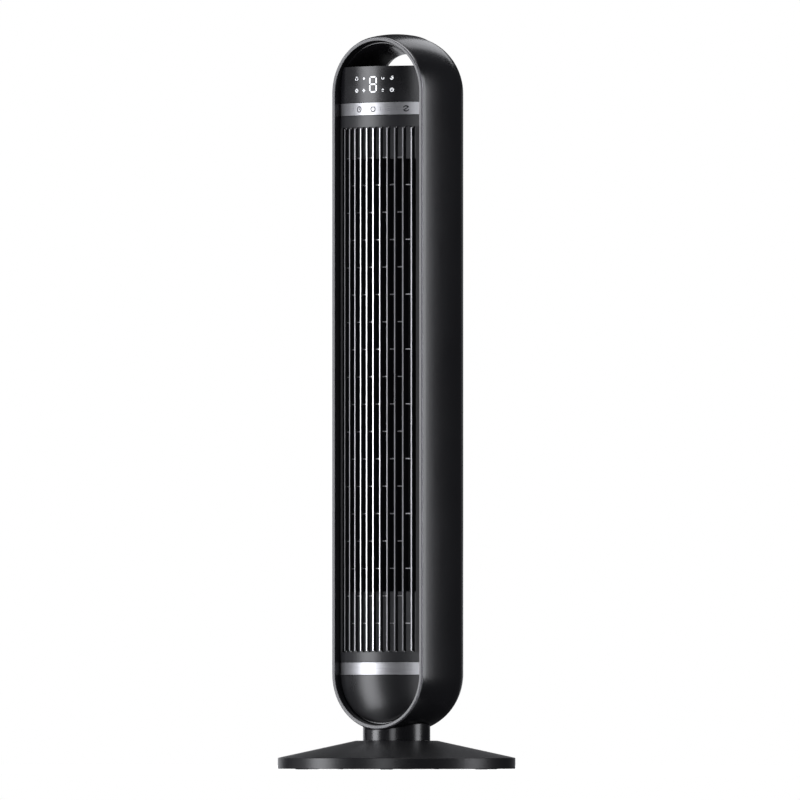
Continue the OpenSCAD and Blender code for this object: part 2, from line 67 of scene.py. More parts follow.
class Signal:
    """One number that varies over a surface; arithmetic on it adds Math nodes."""

    def __init__(self, tree: bpy.types.NodeTree, socket: bpy.types.NodeSocket) -> None:
        """Wraps an output socket of a node tree."""
        self.tree = tree
        self.socket = socket

    def _join(self, operation: str, first: "Signal | float", second: "Signal | float") -> "Signal":
        """Adds one Math node.

        Args:
            operation: the Math node's operation.
            first: the left operand.
            second: the right operand.

        Returns:
            The node's result.
        """
        node = self.tree.nodes.new("ShaderNodeMath")
        node.operation = operation
        for slot, value in zip(node.inputs, (first, second)):
            if isinstance(value, Signal):
                self.tree.links.new(value.socket, slot)
            else:
                slot.default_value = value
        return Signal(self.tree, node.outputs[0])

    def __add__(self, other: "Signal | float") -> "Signal":
        """Sum."""
        return self._join("ADD", self, other)

    def __radd__(self, other: float) -> "Signal":
        """Sum with a number on the left."""
        return self._join("ADD", other, self)

    def __sub__(self, other: "Signal | float") -> "Signal":
        """Difference."""
        return self._join("SUBTRACT", self, other)

    def __rsub__(self, other: float) -> "Signal":
        """A number less this signal."""
        return self._join("SUBTRACT", other, self)

    def __mul__(self, other: "Signal | float") -> "Signal":
        """Product."""
        return self._join("MULTIPLY", self, other)

    def __rmul__(self, other: float) -> "Signal":
        """Product with a number on the left."""
        return self._join("MULTIPLY", other, self)

    def within(self, low: float, high: float) -> "Signal":
        """0 at low and below, 1 at high and above, straight between them."""
        slope = (self - low) * (1.0 / (high - low))
        return self._join("MINIMUM", self._join("MAXIMUM", slope, 0.0), 1.0)


class Recipe:
    """The node tree of one material, which ends in a Principled shader."""

    def __init__(self, name: str) -> None:
        """Starts an empty material.

        Args:
            name: the material's name.
        """
        self.material = bpy.data.materials.new(name)
        self.material.use_nodes = True
        self.tree = self.material.node_tree
        self.tree.nodes.clear()
        self.shader = self.node("ShaderNodeBsdfPrincipled")
        self.node("ShaderNodeOutputMaterial", inputs={"Surface": self.shader.outputs[0]})
        self.place = self.node("ShaderNodeTexCoord").outputs["Object"]

    def node(
        self,
        kind: str,
        settings: dict[str, object] | None = None,
        inputs: dict[str | int, object] | None = None,
    ) -> bpy.types.Node:
        """Adds any node.

        Args:
            kind: the node's type.
            settings: its own settings, set before anything is linked.
            inputs: values or links for its sockets.

        Returns:
            The node.
        """
        made = self.tree.nodes.new(kind)
        for key, value in (settings or {}).items():
            setattr(made, key, value)
        for key, value in (inputs or {}).items():
            self.feed(made.inputs[key], value)
        return made

    def feed(self, socket: bpy.types.NodeSocket, value: object) -> None:
        """Sets a socket to a value, or links it.

        Args:
            socket: the input.
            value: a Signal, a socket, a number, a vector or a colour.
        """
        if isinstance(value, Signal):
            self.tree.links.new(value.socket, socket)
        elif isinstance(value, bpy.types.NodeSocket):
            self.tree.links.new(value, socket)
        elif isinstance(value, tuple) and socket.type == "RGBA":
            socket.default_value = (*value, 1.0)
        else:
            socket.default_value = value

    def noise(self, scale: float, detail: float = 2.0, stretch: Colour = (1.0, 1.0, 1.0)) -> Signal:
        """Noise on the piece's own coordinates.

        Args:
            scale: how many blotches fit in a metre.
            detail: how many finer layers lie over them.
            stretch: how much finer the pattern is along each axis.

        Returns:
            The noise, around 0.5.
        """
        where = self.node("ShaderNodeMapping", inputs={"Vector": self.place, "Scale": stretch}).outputs[0]
        made = self.node("ShaderNodeTexNoise", inputs={"Vector": where, "Scale": scale, "Detail": detail})
        return Signal(self.tree, made.outputs[0])

    def upward(self) -> Signal:
        """How far the surface faces up, -1 to 1."""
        facing = self.node("ShaderNodeNewGeometry").outputs["Normal"]
        return Signal(self.tree, self.node("ShaderNodeSeparateXYZ", inputs={"Vector": facing}).outputs["Z"])

    def blend(self, amount: Signal, start: object, end: Colour) -> bpy.types.NodeSocket:
        """A colour between two colours.

        Args:
            amount: 0 gives start and 1 gives end.
            start: the first colour, or a link to one.
            end: the second colour.

        Returns:
            The mixed colour.
        """
        return self.node("ShaderNodeMix", {"data_type": "RGBA"}, {0: amount, 6: start, 7: end}).outputs[2]

    def relief(self, height: Signal, depth: float) -> None:
        """Raises the surface by a pattern, without moving it.

        Args:
            height: the pattern, 0 to 1.
            depth: how tall it is, in metres.
        """
        bump = self.node("ShaderNodeBump", inputs={"Strength": 1.0, "Distance": depth, "Height": height})
        self.feed(self.shader.inputs["Normal"], bump.outputs[0])

    def surface(self, **values: object) -> Material:
        """Sets the shader's own sockets.

        Args:
            values: socket names with _ for a space, and a value or a link for each.

        Returns:
            The finished material.
        """
        for key, value in values.items():
            self.feed(self.shader.inputs[key.replace("_", " ")], value)
        return self.material


def lighter(colour: Colour, by: float) -> Colour:
    """A colour with every part multiplied by a number."""
    return (colour[0] * by, colour[1] * by, colour[2] * by)


# ---------- finishes ----------


@dataclass(frozen=True)
class Finish:
    """What every finish has: a name and a main colour."""

    name: str
    tone: Colour

    def material(self) -> Material:
        """Builds the material; each finish has its own way."""
        raise NotImplementedError


@dataclass(frozen=True)
class MouldedPlastic(Finish):
    """Injection moulded plastic: spark-eroded grain, slow tone drift, and a film of dust on what faces up."""

    roughness: float = 0.36
    grain: float = 1900.0
    grain_depth: float = 0.000012
    dust: float = 0.02
    coat: float = 0.0
    metal: float = 0.0
    dust_tone: Colour = (0.42, 0.41, 0.39)

    def material(self) -> Material:
        """Builds the material.

        Returns:
            The material.
        """
        recipe = Recipe(self.name)
        grain = recipe.noise(self.grain, 2.0)
        drift = recipe.noise(9.0, 3.0)
        rubbed = recipe.noise(34.0, 4.0, (1.0, 1.0, 0.3)).within(0.52, 0.72)
        speckle = recipe.noise(420.0, 3.0).within(0.42, 0.66)
        film = recipe.upward().within(0.45, 1.0) * speckle * self.dust
        shade = (drift - 0.5) * 0.5 + rubbed * 0.16 + grain * 0.16
        tone = recipe.blend(shade.within(-0.2, 0.4), lighter(self.tone, 0.82), lighter(self.tone, 1.28))
        recipe.relief(grain, self.grain_depth)
        return recipe.surface(
            Base_Color=recipe.blend(film, tone, self.dust_tone),
            Roughness=self.roughness + (drift - 0.5) * 0.08 - rubbed * 0.03 + film * 2.0,
            Metallic=self.metal,
            IOR=1.49,
            Coat_Weight=self.coat,
            Coat_Roughness=0.16,
        )


@dataclass(frozen=True)
class GlossWindow(Finish):
    """Smoked acrylic: deep gloss with faint finger smudges and hairline wipes."""

    roughness: float = 0.24

    def material(self) -> Material:
        """Builds the material.

        Returns:
            The material.
        """
        recipe = Recipe(self.name)
        smudge = recipe.noise(26.0, 4.0).within(0.46, 0.7)
        wipe = recipe.noise(260.0, 2.0, (0.2, 0.2, 1.0)).within(0.5, 0.8)
        tone = recipe.blend(smudge, self.tone, lighter(self.tone, 1.5))
        recipe.relief(recipe.noise(60.0, 1.0), 0.00001)
        rough = self.roughness + smudge * 0.07 + wipe * 0.03
        return recipe.surface(Base_Color=tone, Roughness=rough, IOR=1.5)


@dataclass(frozen=True)
class BrushedSilver(Finish):
    """Silver finish with fine brush lines along the band."""

    roughness: float = 0.34

    def material(self) -> Material:
        """Builds the material.

        Returns:
            The material.
        """
        recipe = Recipe(self.name)
        line = recipe.noise(2600.0, 3.0, (0.02, 0.02, 1.0))
        cloud = recipe.noise(40.0, 3.0)
        tone = recipe.blend(line.within(0.3, 0.7), lighter(self.tone, 0.86), lighter(self.tone, 1.1))
        rough = self.roughness + (line - 0.5) * 0.16 + (cloud - 0.5) * 0.1
        recipe.relief(line, 0.000006)
        return recipe.surface(Base_Color=tone, Roughness=rough, Metallic=1.0)


@dataclass(frozen=True)
class PlainMetal(Finish):
    """Turned, rolled or cast metal, with a worn patchy sheen."""

    roughness: float = 0.34
    pits: float = 700.0
    pit_depth: float = 0.00001
    metallic: float = 1.0

    def material(self) -> Material:
        """Builds the material.

        Returns:
            The material.
        """
        recipe = Recipe(self.name)
        patch = recipe.noise(60.0, 5.0)
        tone = recipe.blend(patch.within(0.35, 0.7), lighter(self.tone, 0.75), lighter(self.tone, 1.15))
        recipe.relief(recipe.noise(self.pits, 3.0), self.pit_depth)
        rough = self.roughness + (patch - 0.5) * 0.2
        return recipe.surface(Base_Color=tone, Roughness=rough, Metallic=self.metallic)


@dataclass(frozen=True)
class SoftRubber(Finish):
    """Matt rubber with a dusty bloom."""

    def material(self) -> Material:
        """Builds the material.

        Returns:
            The material.
        """
        recipe = Recipe(self.name)
        bloom = recipe.noise(150.0, 5.0).within(0.4, 0.75)
        tone = recipe.blend(bloom, self.tone, lighter(self.tone, 2.2))
        recipe.relief(recipe.noise(1500.0, 2.0), 0.00004)
        return recipe.surface(Base_Color=tone, Roughness=0.72 + bloom * 0.15, IOR=1.5)


@dataclass(frozen=True)
class Acetal(Finish):
    """Natural white bearing plastic: waxy, with a little light coming through."""

    depth: Colour = (0.004, 0.003, 0.002)

    def material(self) -> Material:
        """Builds the material.

        Returns:
            The material.
        """
        recipe = Recipe(self.name)
        flow = recipe.noise(120.0, 3.0, (1.0, 1.0, 0.4))
        tone = recipe.blend(flow.within(0.3, 0.7), lighter(self.tone, 0.9), self.tone)
        recipe.relief(recipe.noise(1200.0, 2.0), 0.00001)
        rough = 0.38 + (flow - 0.5) * 0.1
        return recipe.surface(
            Base_Color=tone, Roughness=rough, Subsurface_Weight=0.1, Subsurface_Radius=self.depth
        )


@dataclass(frozen=True)
class Glow(Finish):
    """White light under a diffuser, a little uneven across each mark."""

    strength: float = 1.5

    def material(self) -> Material:
        """Builds the material.

        Returns:
            The material.
        """
        recipe = Recipe(self.name)
        lit = recipe.blend(recipe.noise(900.0, 2.0).within(0.2, 0.8), lighter(self.tone, 0.82), self.tone)
        return recipe.surface(
            Base_Color=self.tone, Roughness=0.4, Emission_Color=lit, Emission_Strength=self.strength
        )


@dataclass(frozen=True)
class PrintedInk(Finish):
    """Pad-printed ink, slightly uneven."""

    def material(self) -> Material:
        """Builds the material.

        Returns:
            The material.
        """
        recipe = Recipe(self.name)
        patch = recipe.noise(2400.0, 3.0)
        tone = recipe.blend(patch.within(0.3, 0.8), self.tone, lighter(self.tone, 1.8))
        recipe.relief(patch, 0.000008)
        return recipe.surface(Base_Color=tone, Roughness=0.8 + (patch - 0.5) * 0.2, Specular_IOR_Level=0.1)


@dataclass(frozen=True)
class CircuitBoard(Finish):
    """Green solder mask over a grid of tracks."""

    def material(self) -> Material:
        """Builds the material.

        Returns:
            The material.
        """
        recipe = Recipe(self.name)
        mask = {"Color1": self.tone, "Color2": lighter(self.tone, 1.35), "Mortar": lighter(self.tone, 2.4)}
        tracks = recipe.node(
            "ShaderNodeTexBrick",
            {"offset": 0.35, "squash": 0.6},
            {"Vector": recipe.place, "Scale": 160.0, "Mortar Size": 0.04, **mask},
        )
        step = Signal(recipe.tree, tracks.outputs["Fac"])
        recipe.relief(step, 0.00003)
        tone, rough = tracks.outputs["Color"], 0.3 + step * 0.12
        return recipe.surface(Base_Color=tone, Roughness=rough, Coat_Weight=0.4)


@dataclass(frozen=True)
class Winding(Finish):
    """Enamelled copper wire, laid turn on turn."""

    def material(self) -> Material:
        """Builds the material.

        Returns:
            The material.
        """
        recipe = Recipe(self.name)
        turns = recipe.node(
            "ShaderNodeTexWave",
            {"wave_type": "BANDS", "bands_direction": "Z"},
            {"Vector": recipe.place, "Scale": 420.0, "Distortion": 1.2, "Detail": 2.0},
        )
        wire = Signal(recipe.tree, turns.outputs["Fac"])
        recipe.relief(wire, 0.0002)
        tone = recipe.blend(wire, lighter(self.tone, 0.35), self.tone)
        return recipe.surface(Base_Color=tone, Roughness=0.28 + wire * 0.1, Metallic=0.9)


@dataclass(frozen=True)
class PaleFloor(Finish):
    """Seamless pale floor, lit a little from below like a light table."""

    glow: float = 0.8

    def material(self) -> Material:
        """Builds the material.

        Returns:
            The material.
        """
        recipe = Recipe(self.name)
        tone = recipe.blend(recipe.noise(1.2, 2.0).within(0.3, 0.7), lighter(self.tone, 0.99), self.tone)
        return recipe.surface(
            Base_Color=tone, Roughness=0.9, Emission_Color=self.tone, Emission_Strength=self.glow
        )


class Palette:
    """Every material on the fan, built once."""

    def __init__(self) -> None:
        """Builds the materials."""
        moulded = MouldedPlastic
        self.housing = moulded("satin_black_housing", (0.008, 0.008, 0.0092), 0.25, coat=0.25).material()
        self.base = moulded("textured_black_base", (0.009, 0.009, 0.0102), 0.32, 1500.0, 0.00002).material()
        self.inner = moulded("plain_black_inner", (0.009, 0.009, 0.01), 0.5, 1500.0, dust=0.01).material()
        self.panel = moulded("dark_grey_panel", (0.065, 0.065, 0.069), 0.45, dust=0.0).material()
        self.grille = moulded("black_grille", (0.009, 0.009, 0.0105), 0.34, dust=0.0).material()
        self.window = GlossWindow("smoked_window", (0.004, 0.004, 0.005)).material()
        self.silver = BrushedSilver("brushed_silver_band", (0.33, 0.33, 0.34)).material()
        self.fin_edge = moulded("silver_fin_edge", (0.62, 0.62, 0.64), 0.3, dust=0.0, metal=0.9).material()
        self.lip = moulded("satin_graphite_lip", (0.24, 0.24, 0.25), dust=0.0, metal=0.85).material()
        self.dome = moulded("satin_black_dome", (0.007, 0.007, 0.008), 0.3, dust=0.0).material()
        self.rubber = SoftRubber("black_rubber", (0.012, 0.012, 0.012)).material()
        self.steel = PlainMetal("zinc_plated_steel", (0.5, 0.5, 0.51)).material()
        self.iron = PlainMetal("cast_ballast", (0.09, 0.09, 0.095), 0.6, 300.0, 0.0002, 0.7).material()
        self.bronze = PlainMetal("sintered_bronze", (0.5, 0.34, 0.16), 0.42, 1800.0, 0.00003).material()
        self.acetal = Acetal("natural_acetal", (0.74, 0.73, 0.68)).material()
        self.board = CircuitBoard("green_board", (0.012, 0.07, 0.03)).material()
        self.copper = Winding("copper_winding", (0.55, 0.26, 0.1)).material()
        self.glow = Glow("lit_mark", (0.95, 0.97, 1.0)).material()
        self.ink = PrintedInk("dark_print", (0.02, 0.02, 0.022)).material()
        self.faint_ink = PrintedInk("grey_print", (0.16, 0.16, 0.17)).material()


# ---------- shape helpers ----------


class Join(Enum):
    """How two closed shapes are put together."""

    ADD = "UNION"
    CUT = "DIFFERENCE"
    KEEP_SHARED = "INTERSECT"


def evenly(start: float, end: float, parts: int) -> list[float]:
    """Numbers from start to end, in equal steps."""
    return [start + (end - start) * i / parts for i in range(parts + 1)]


def tidy(shape: Shape) -> Shape:
    """Merges doubles and turns every face outwards.

    Args:
        shape: a closed shape, or several.

    Returns:
        The same shape.
    """
    bmesh.ops.remove_doubles(shape, verts=shape.verts, dist=SAME_PLACE)
    bmesh.ops.recalc_face_normals(shape, faces=shape.faces)
    return shape


def stand(name: str, data: bpy.types.ID) -> bpy.types.Object:
    """Puts a new mesh, light or camera in the scene.

    Args:
        name: the object's name.
        data: what it holds.

    Returns:
        The object, unparented and at the origin.
    """
    made = bpy.data.objects.new(name, data)
    bpy.context.scene.collection.objects.link(made)
    return made


def meshed(shape: Shape, name: str) -> bpy.types.Mesh:
    """Makes a mesh of a shape.

    Args:
        shape: the shape, which is used up.
        name: the mesh's name.

    Returns:
        The mesh.
    """
    mesh = bpy.data.meshes.new(name)
    shape.to_mesh(mesh)
    shape.free()
    return mesh


def combine(first: Shape, second: Shape, how: Join) -> Shape:
    """Joins two closed shapes, or cuts one by the other.

    Args:
        first: the shape that is kept or cut.
        second: the shape that is added, taken away or kept in common.
        how: which of these it is.

    Returns:
        The new shape.
    """
    body, tool = [stand(name, meshed(part, name)) for name, part in (("body", first), ("tool", second))]
    joint = body.modifiers.new("joining", "BOOLEAN")
    joint.operation = how.value
    joint.solver = "EXACT"
    joint.object = tool
    bpy.context.view_layer.update()
    made = bmesh.new()
    made.from_object(body, bpy.context.evaluated_depsgraph_get())
    for spent in (body, tool):
        mesh = spent.data
        bpy.data.objects.remove(spent)
        bpy.data.meshes.remove(mesh)
    bmesh.ops.dissolve_degenerate(made, edges=made.edges, dist=SLIVER)
    return tidy(made)


def absorb(shape: Shape, other: Shape) -> Shape:
    """Adds a second shape to the first as it is, without joining their faces.

    Args:
        shape: the shape that grows.
        other: the shape that is used up.

    Returns:
        The first shape.
    """
    mesh = meshed(other, "absorbed")
    shape.from_mesh(mesh)
    bpy.data.meshes.remove(mesh)
    return shape


def corners_of(made: Iterable[object]) -> list[Corner]:
    """The points in what an operator made."""
    return [g for g in made if isinstance(g, Corner)]


def edges_of(made: Iterable[object]) -> list[Edge]:
    """The edges in what an operator made."""
    return [g for g in made if isinstance(g, Edge)]


def ends(edges: Iterable[Edge]) -> set[Corner]:
    """The points that some edges meet."""
    return {v for e in edges for v in e.verts}


def chain(shape: Shape, places: Iterable[Vector], closed: bool) -> list[Edge]:
    """Lays a wire through places.

    Args:
        shape: where the wire goes.
        places: its points in order.
        closed: whether the last point joins the first.

    Returns:
        The wire's edges.
    """
    points = [shape.verts.new(place) for place in places]
    following = points[1:] + (points[:1] if closed else [])
    return [shape.edges.new(pair) for pair in zip(points, following)]


def sweep(
    shape: Shape, edges: list[Edge], centre: Vector, axis: Vector, angle: float, parts: int
) -> list[Edge]:
    """Turns a wire about an axis, leaving a skin behind it.

    Args:
        shape: the shape that holds the wire.
        edges: the wire.
        centre: a point on the axis.
        axis: the axis's direction.
        angle: how far it turns.
        parts: how many faces lie along the way.

    Returns:
        The wire's edges at the end of the way.
    """
    turned = bmesh.ops.spin(
        shape,
        geom=list(ends(edges)) + edges,
        cent=centre,
        axis=axis,
        angle=angle,
        steps=parts,
        use_merge=math.isclose(abs(angle), math.tau),
        use_duplicate=False,
    )
    return edges_of(turned["geom_last"])


def slide(shape: Shape, edges: list[Edge], by: Vector) -> list[Edge]:
    """Pulls a wire along a line, leaving a skin behind it.

    Args:
        shape: the shape that holds the wire.
        edges: the wire.
        by: how far, and which way.

    Returns:
        The wire's edges at the end of the way.
    """
    grown = bmesh.ops.extrude_edge_only(shape, edges=edges)["geom"]
    bmesh.ops.translate(shape, vec=by, verts=corners_of(grown))
    return [e for e in edges_of(grown) if not set(e.verts) & ends(edges)]


def thicken(shape: Shape, by: Sequence[float]) -> None:
    """Makes a flat shape solid by pulling its faces along a line."""
    grown = bmesh.ops.extrude_face_region(shape, geom=list(shape.faces))["geom"]
    bmesh.ops.translate(shape, vec=by, verts=corners_of(grown))


def round_off(shape: Shape, edges: list[Edge], width: float, segments: int, material: int = -1) -> None:
    """Rounds some edges of a shape."""
    bmesh.ops.bevel(
        shape, geom=edges, offset=width, affect="EDGES", segments=segments, profile=0.5, material=material
    )


def uprights(edges: Iterable[Edge]) -> list[Edge]:
    """Those edges that stand upright and are long."""
    return [e for e in edges if abs(e.verts[0].co.z - e.verts[1].co.z) > LONG_EDGE]


def turned_solid(outline: Outline, centre: Vector, axis: Vector, parts: int, closed: bool = False) -> Shape:
    """A solid of revolution.

    Args:
        outline: (radius, distance along the axis) points; from pole to pole unless it is closed.
        centre: the point that distances are measured from.
        axis: either the depth axis or the upright one.
        parts: how many faces lie around it.
        closed: whether the outline is a ring of its own, which leaves a hole in the middle.

    Returns:
        The closed shape.
    """
    shape = bmesh.new()
    wire = chain(shape, [centre + Vector((r, 0.0, 0.0)) + axis * along for r, along in outline], closed)
    sweep(shape, wire, centre, axis, math.tau, parts)
    return tidy(shape)


def block(low: Sequence[float], high: Sequence[float]) -> Shape:
    """A block between two corners.

    Args:
        low: its lowest corner.
        high: its highest corner.

    Returns:
        The closed shape.
    """
    shape = bmesh.new()
    bmesh.ops.create_cube(shape, size=1.0)
    bmesh.ops.scale(shape, vec=[b - a for a, b in zip(low, high)], verts=shape.verts)
    bmesh.ops.translate(shape, vec=[(a + b) / 2 for a, b in zip(low, high)], verts=shape.verts)
    return shape


def rod(start: Sequence[float], axis: Vector, radius: float, length: float, sides: int = 40) -> Shape:
    """A round rod, for joining and cutting with.

    Args:
        start: the middle of its first end.
        axis: the direction it runs in.
        radius: its radius.
        length: its length.
        sides: how many faces lie around it.

    Returns:
        The closed shape.
    """
    shape = bmesh.new()
    turn = axis.to_track_quat("Z", "Y").to_matrix().to_4x4()
    place = Matrix.Translation(Vector(start) + axis * length / 2) @ turn
    bmesh.ops.create_cone(
        shape, cap_ends=True, segments=sides, radius1=radius, radius2=radius, depth=length, matrix=place
    )
    return shape


def around(radius: float, degrees: float, z: float = 0.0) -> Vector:
    """A place on a circle about the upright axis, anticlockwise from the right."""
    turn = math.radians(degrees)
    return Vector((radius * math.cos(turn), radius * math.sin(turn), z))


def trimmed(shape: Shape, point: Sequence[float], away: Sequence[float]) -> Shape:
    """Cuts off what lies beyond a plane, and closes the cut.

    Args:
        shape: the shape.
        point: a point on the plane.
        away: the direction that is cut off.

    Returns:
        The same shape.
    """
    geom = [*shape.verts, *shape.edges, *shape.faces]
    bmesh.ops.bisect_plane(shape, geom=geom, plane_co=point, plane_no=away, clear_outer=True, dist=0.0000005)
    bmesh.ops.holes_fill(shape, edges=[e for e in shape.edges if e.is_boundary], sides=0)
    return shape


@dataclass(frozen=True)
class Fitting:
    """Where a finished piece belongs, which frame nodes it stands for, and how its edges look."""

    body: str
    slot: str
    nodes: tuple[str, ...] = ()
    edge: float = 0.0
    crease: float = 34.0


def on_tower(slot: str, *nodes: str, edge: float = 0.0, crease: float = 34.0) -> Fitting:
    """The fitting of a piece that turns with the tower."""
    return Fitting("tower", slot, nodes, edge, crease)


def fit(shape: Shape, name: str, finishes: Sequence[Material], place: Fitting) -> None:
    """Finishes a piece: smooth faces, softened edges, materials, and its body.

    Args:
        shape: the piece's shape, which is used up.
        name: the piece's name.
        finishes: its materials, by the faces' material numbers.
        place: where it belongs.
    """
    tidy(shape)
    for face in shape.faces:
        face.smooth = True
    piece = stand(name, meshed(shape, name))
    for finish in finishes:
        piece.data.materials.append(finish)
    crease = math.radians(place.crease)
    piece.data.set_sharp_from_angle(angle=crease)
    if place.edge > 0.0:
        softened = piece.modifiers.new("softened_edges", "BEVEL")
        softened.width = place.edge
        softened.segments = 2
        softened.limit_method = "ANGLE"
        softened.angle_limit = crease
    levelled = piece.modifiers.new("levelled_normals", "WEIGHTED_NORMAL")
    levelled.keep_sharp = True
    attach(piece, place.body)
    if place.nodes:
        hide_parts(*place.nodes)
    LOG.info("%s: %d faces, on %s", name, len(piece.data.polygons), place.body)


def dress(finish: Material, *names: str) -> None:
    """Gives modelled frame parts a material.

    Args:
        finish: the material.
        names: the parts' names in the frame.
    """
    for name in names:
        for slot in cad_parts[name].material_slots:
            slot.material = finish
        LOG.info("%s: dressed in %s", name, finish.name)


# ---------- sizes that several pieces share ----------


@dataclass(frozen=True)
class TowerShape:
    """The tower's outline, carried round two round ends."""

    low: float = 0.1195
    high: float = 0.8455
    ring_y: float = -0.0425
    seam_y: float = 0.024
    front_r: float = 0.0695
    seam_r: float = 0.0735
    crown: float = 0.0023
    case_r: float = 0.072
    case_y: float = 0.0244
    case_depth: float = 0.0636
    wall: float = 0.0025
    shelf: float = 0.868
    throat: float = 0.05
    front_flare: float = 0.0147
    back_flare: float = 0.014

    def side(self, y: float) -> float:
        """Half width of the front housing at a depth."""
        t = (y - self.ring_y) / (self.seam_y - self.ring_y)
        return self.front_r + (self.seam_r - self.front_r) * t + 4.0 * self.crown * t * (1.0 - t)

    def case(self, degrees: float, inset: float = 0.0) -> tuple[float, float]:
        """Point of the rear casing's profile.

        Args:
            degrees: its angle, from the side towards the back.
            inset: how far inside the skin it lies.

        Returns:
            Its half width and depth.
        """
        turn = math.radians(degrees)
        depth = self.case_y + (self.case_depth - inset) * math.sin(turn)
        return ((self.case_r - inset) * math.cos(turn), depth)

    def flare(self, y: float) -> float:
        """Half width of the hand opening, which is narrowest at the seam.

        Args:
            y: the depth.

        Returns:
            The half width there.
        """
        if y < self.seam_y:
            return self.throat + self.front_flare * ((self.seam_y - y) / (self.seam_y - self.ring_y)) ** 1.5
        return self.throat + self.back_flare * (min(y - self.seam_y, 0.04) / 0.03) ** 1.5

    def carried_round(self, outline: Outline, closed: bool, parts: int = 56) -> Shape:
        """Carries a profile up one side, over the top, down the other side and under the bottom.

        Args:
            outline: (half width, depth) points.
            closed: whether the outline is a ring; an open one starts and ends in the middle.
            parts: how many faces lie around each round end.

        Returns:
            The closed shape.
        """
        shape = bmesh.new()
        wire = chain(shape, [Vector((r, y, self.low)) for r, y in outline], closed)
        rise = Vector((0.0, 0.0, self.high - self.low))
        wire = slide(shape, wire, rise)
        wire = sweep(shape, wire, UPRIGHT * self.high, DEPTH_AXIS, -math.pi, parts)
        wire = slide(shape, wire, -rise)
        sweep(shape, wire, UPRIGHT * self.low, DEPTH_AXIS, -math.pi, parts)
        bmesh.ops.dissolve_degenerate(tidy(shape), edges=shape.edges, dist=SLIVER)
        return tidy(shape)

    def solid(self, grow: float) -> Shape:
        """The whole tower as one solid, grown all round.

        Args:
            grow: by how much.

        Returns:
            The closed shape.
        """
        front = self.ring_y - 0.002
        sides = [(self.side(y) + grow, y) for y in evenly(front, self.seam_y, 12)]
        back = [self.case(a, -grow) for a in evenly(0.0, 84.0, 14)]
        outline = [(0.0, front), *sides, *back, (0.0, self.case_y + self.case_depth + grow)]
        return self.carried_round(outline, closed=False)

    def opening(self, grow: float, floor: float) -> Shape:
        """The hand opening's form above a floor, grown all round.

        Args:
            grow: by how much.
            floor: the height of its flat underside.

        Returns:
            The closed shape.
        """
        front, back = -0.06, 0.095
        depths = [*evenly(front, self.seam_y, 22), *evenly(self.seam_y + 0.004, 0.064, 9), back]
        outline = [(0.0, front), *[(self.flare(y) + grow, y) for y in depths], (0.0, back)]
        shape = turned_solid(outline, UPRIGHT * self.high, DEPTH_AXIS, 128)
        return tidy(trimmed(shape, (0.0, 0.0, floor), -UPRIGHT))


@dataclass(frozen=True)
class BowedFace:
    """The bowed front face: an upright cylinder's skin."""

    crest: float = -0.0508
    radius: float = 0.128
    half_width: float = 0.062

    def depth(self, x: float) -> float:
        """Depth of the face at a half width."""
        return self.crest + self.radius - math.sqrt(self.radius**2 - x * x)

    def band(
        self, low: float, high: float, thickness: float, half_width: float = 0.0, set_back: float = 0.0
    ) -> Shape:
        """A band between two heights that follows the face.

        Args:
            low: its lower edge.
            high: its upper edge.
            thickness: how thick it is, inwards.
            half_width: where it ends on each side; the face's own if it is left out.
            set_back: how far it lies behind the face.

        Returns:
            The closed shape.
        """
        reach = half_width or self.half_width
        shape = bmesh.new()
        centre = Vector((0.0, self.crest + self.radius, 0.0))
        inner = set_back + thickness
        corners = [(set_back, low), (inner, low), (inner, high), (set_back, high)]
        wire = chain(shape, [Vector((0.0, self.crest + inward, z)) for inward, z in corners], True)
        half_angle = math.asin(reach / (self.radius - inner)) + 0.02
        turn = Matrix.Rotation(-half_angle, 4, "Z")
        bmesh.ops.transform(shape, matrix=turn, space=Matrix.Translation(-centre), verts=shape.verts)
        sweep(shape, wire, centre, UPRIGHT, 2.0 * half_angle, 48)
        for side in (-1.0, 1.0):
            trimmed(shape, (side * reach, 0.0, 0.0), (side, 0.0, 0.0))
        return tidy(shape)

    def wrap(self, flat: Shape, lift: float) -> Shape:
        """Bends a flat shape, drawn on the plane y = 0, on to the face.

        Args:
            flat: the shape; its own depth is kept as height over the face.
            lift: how far the plane lies in front of the face.

        Returns:
            The same shape.
        """
        for point in flat.verts:
            point.co.y += self.depth(point.co.x) - lift
        return flat


TOWER = TowerShape()
FACE = BowedFace()


# ---------- base and neck ----------


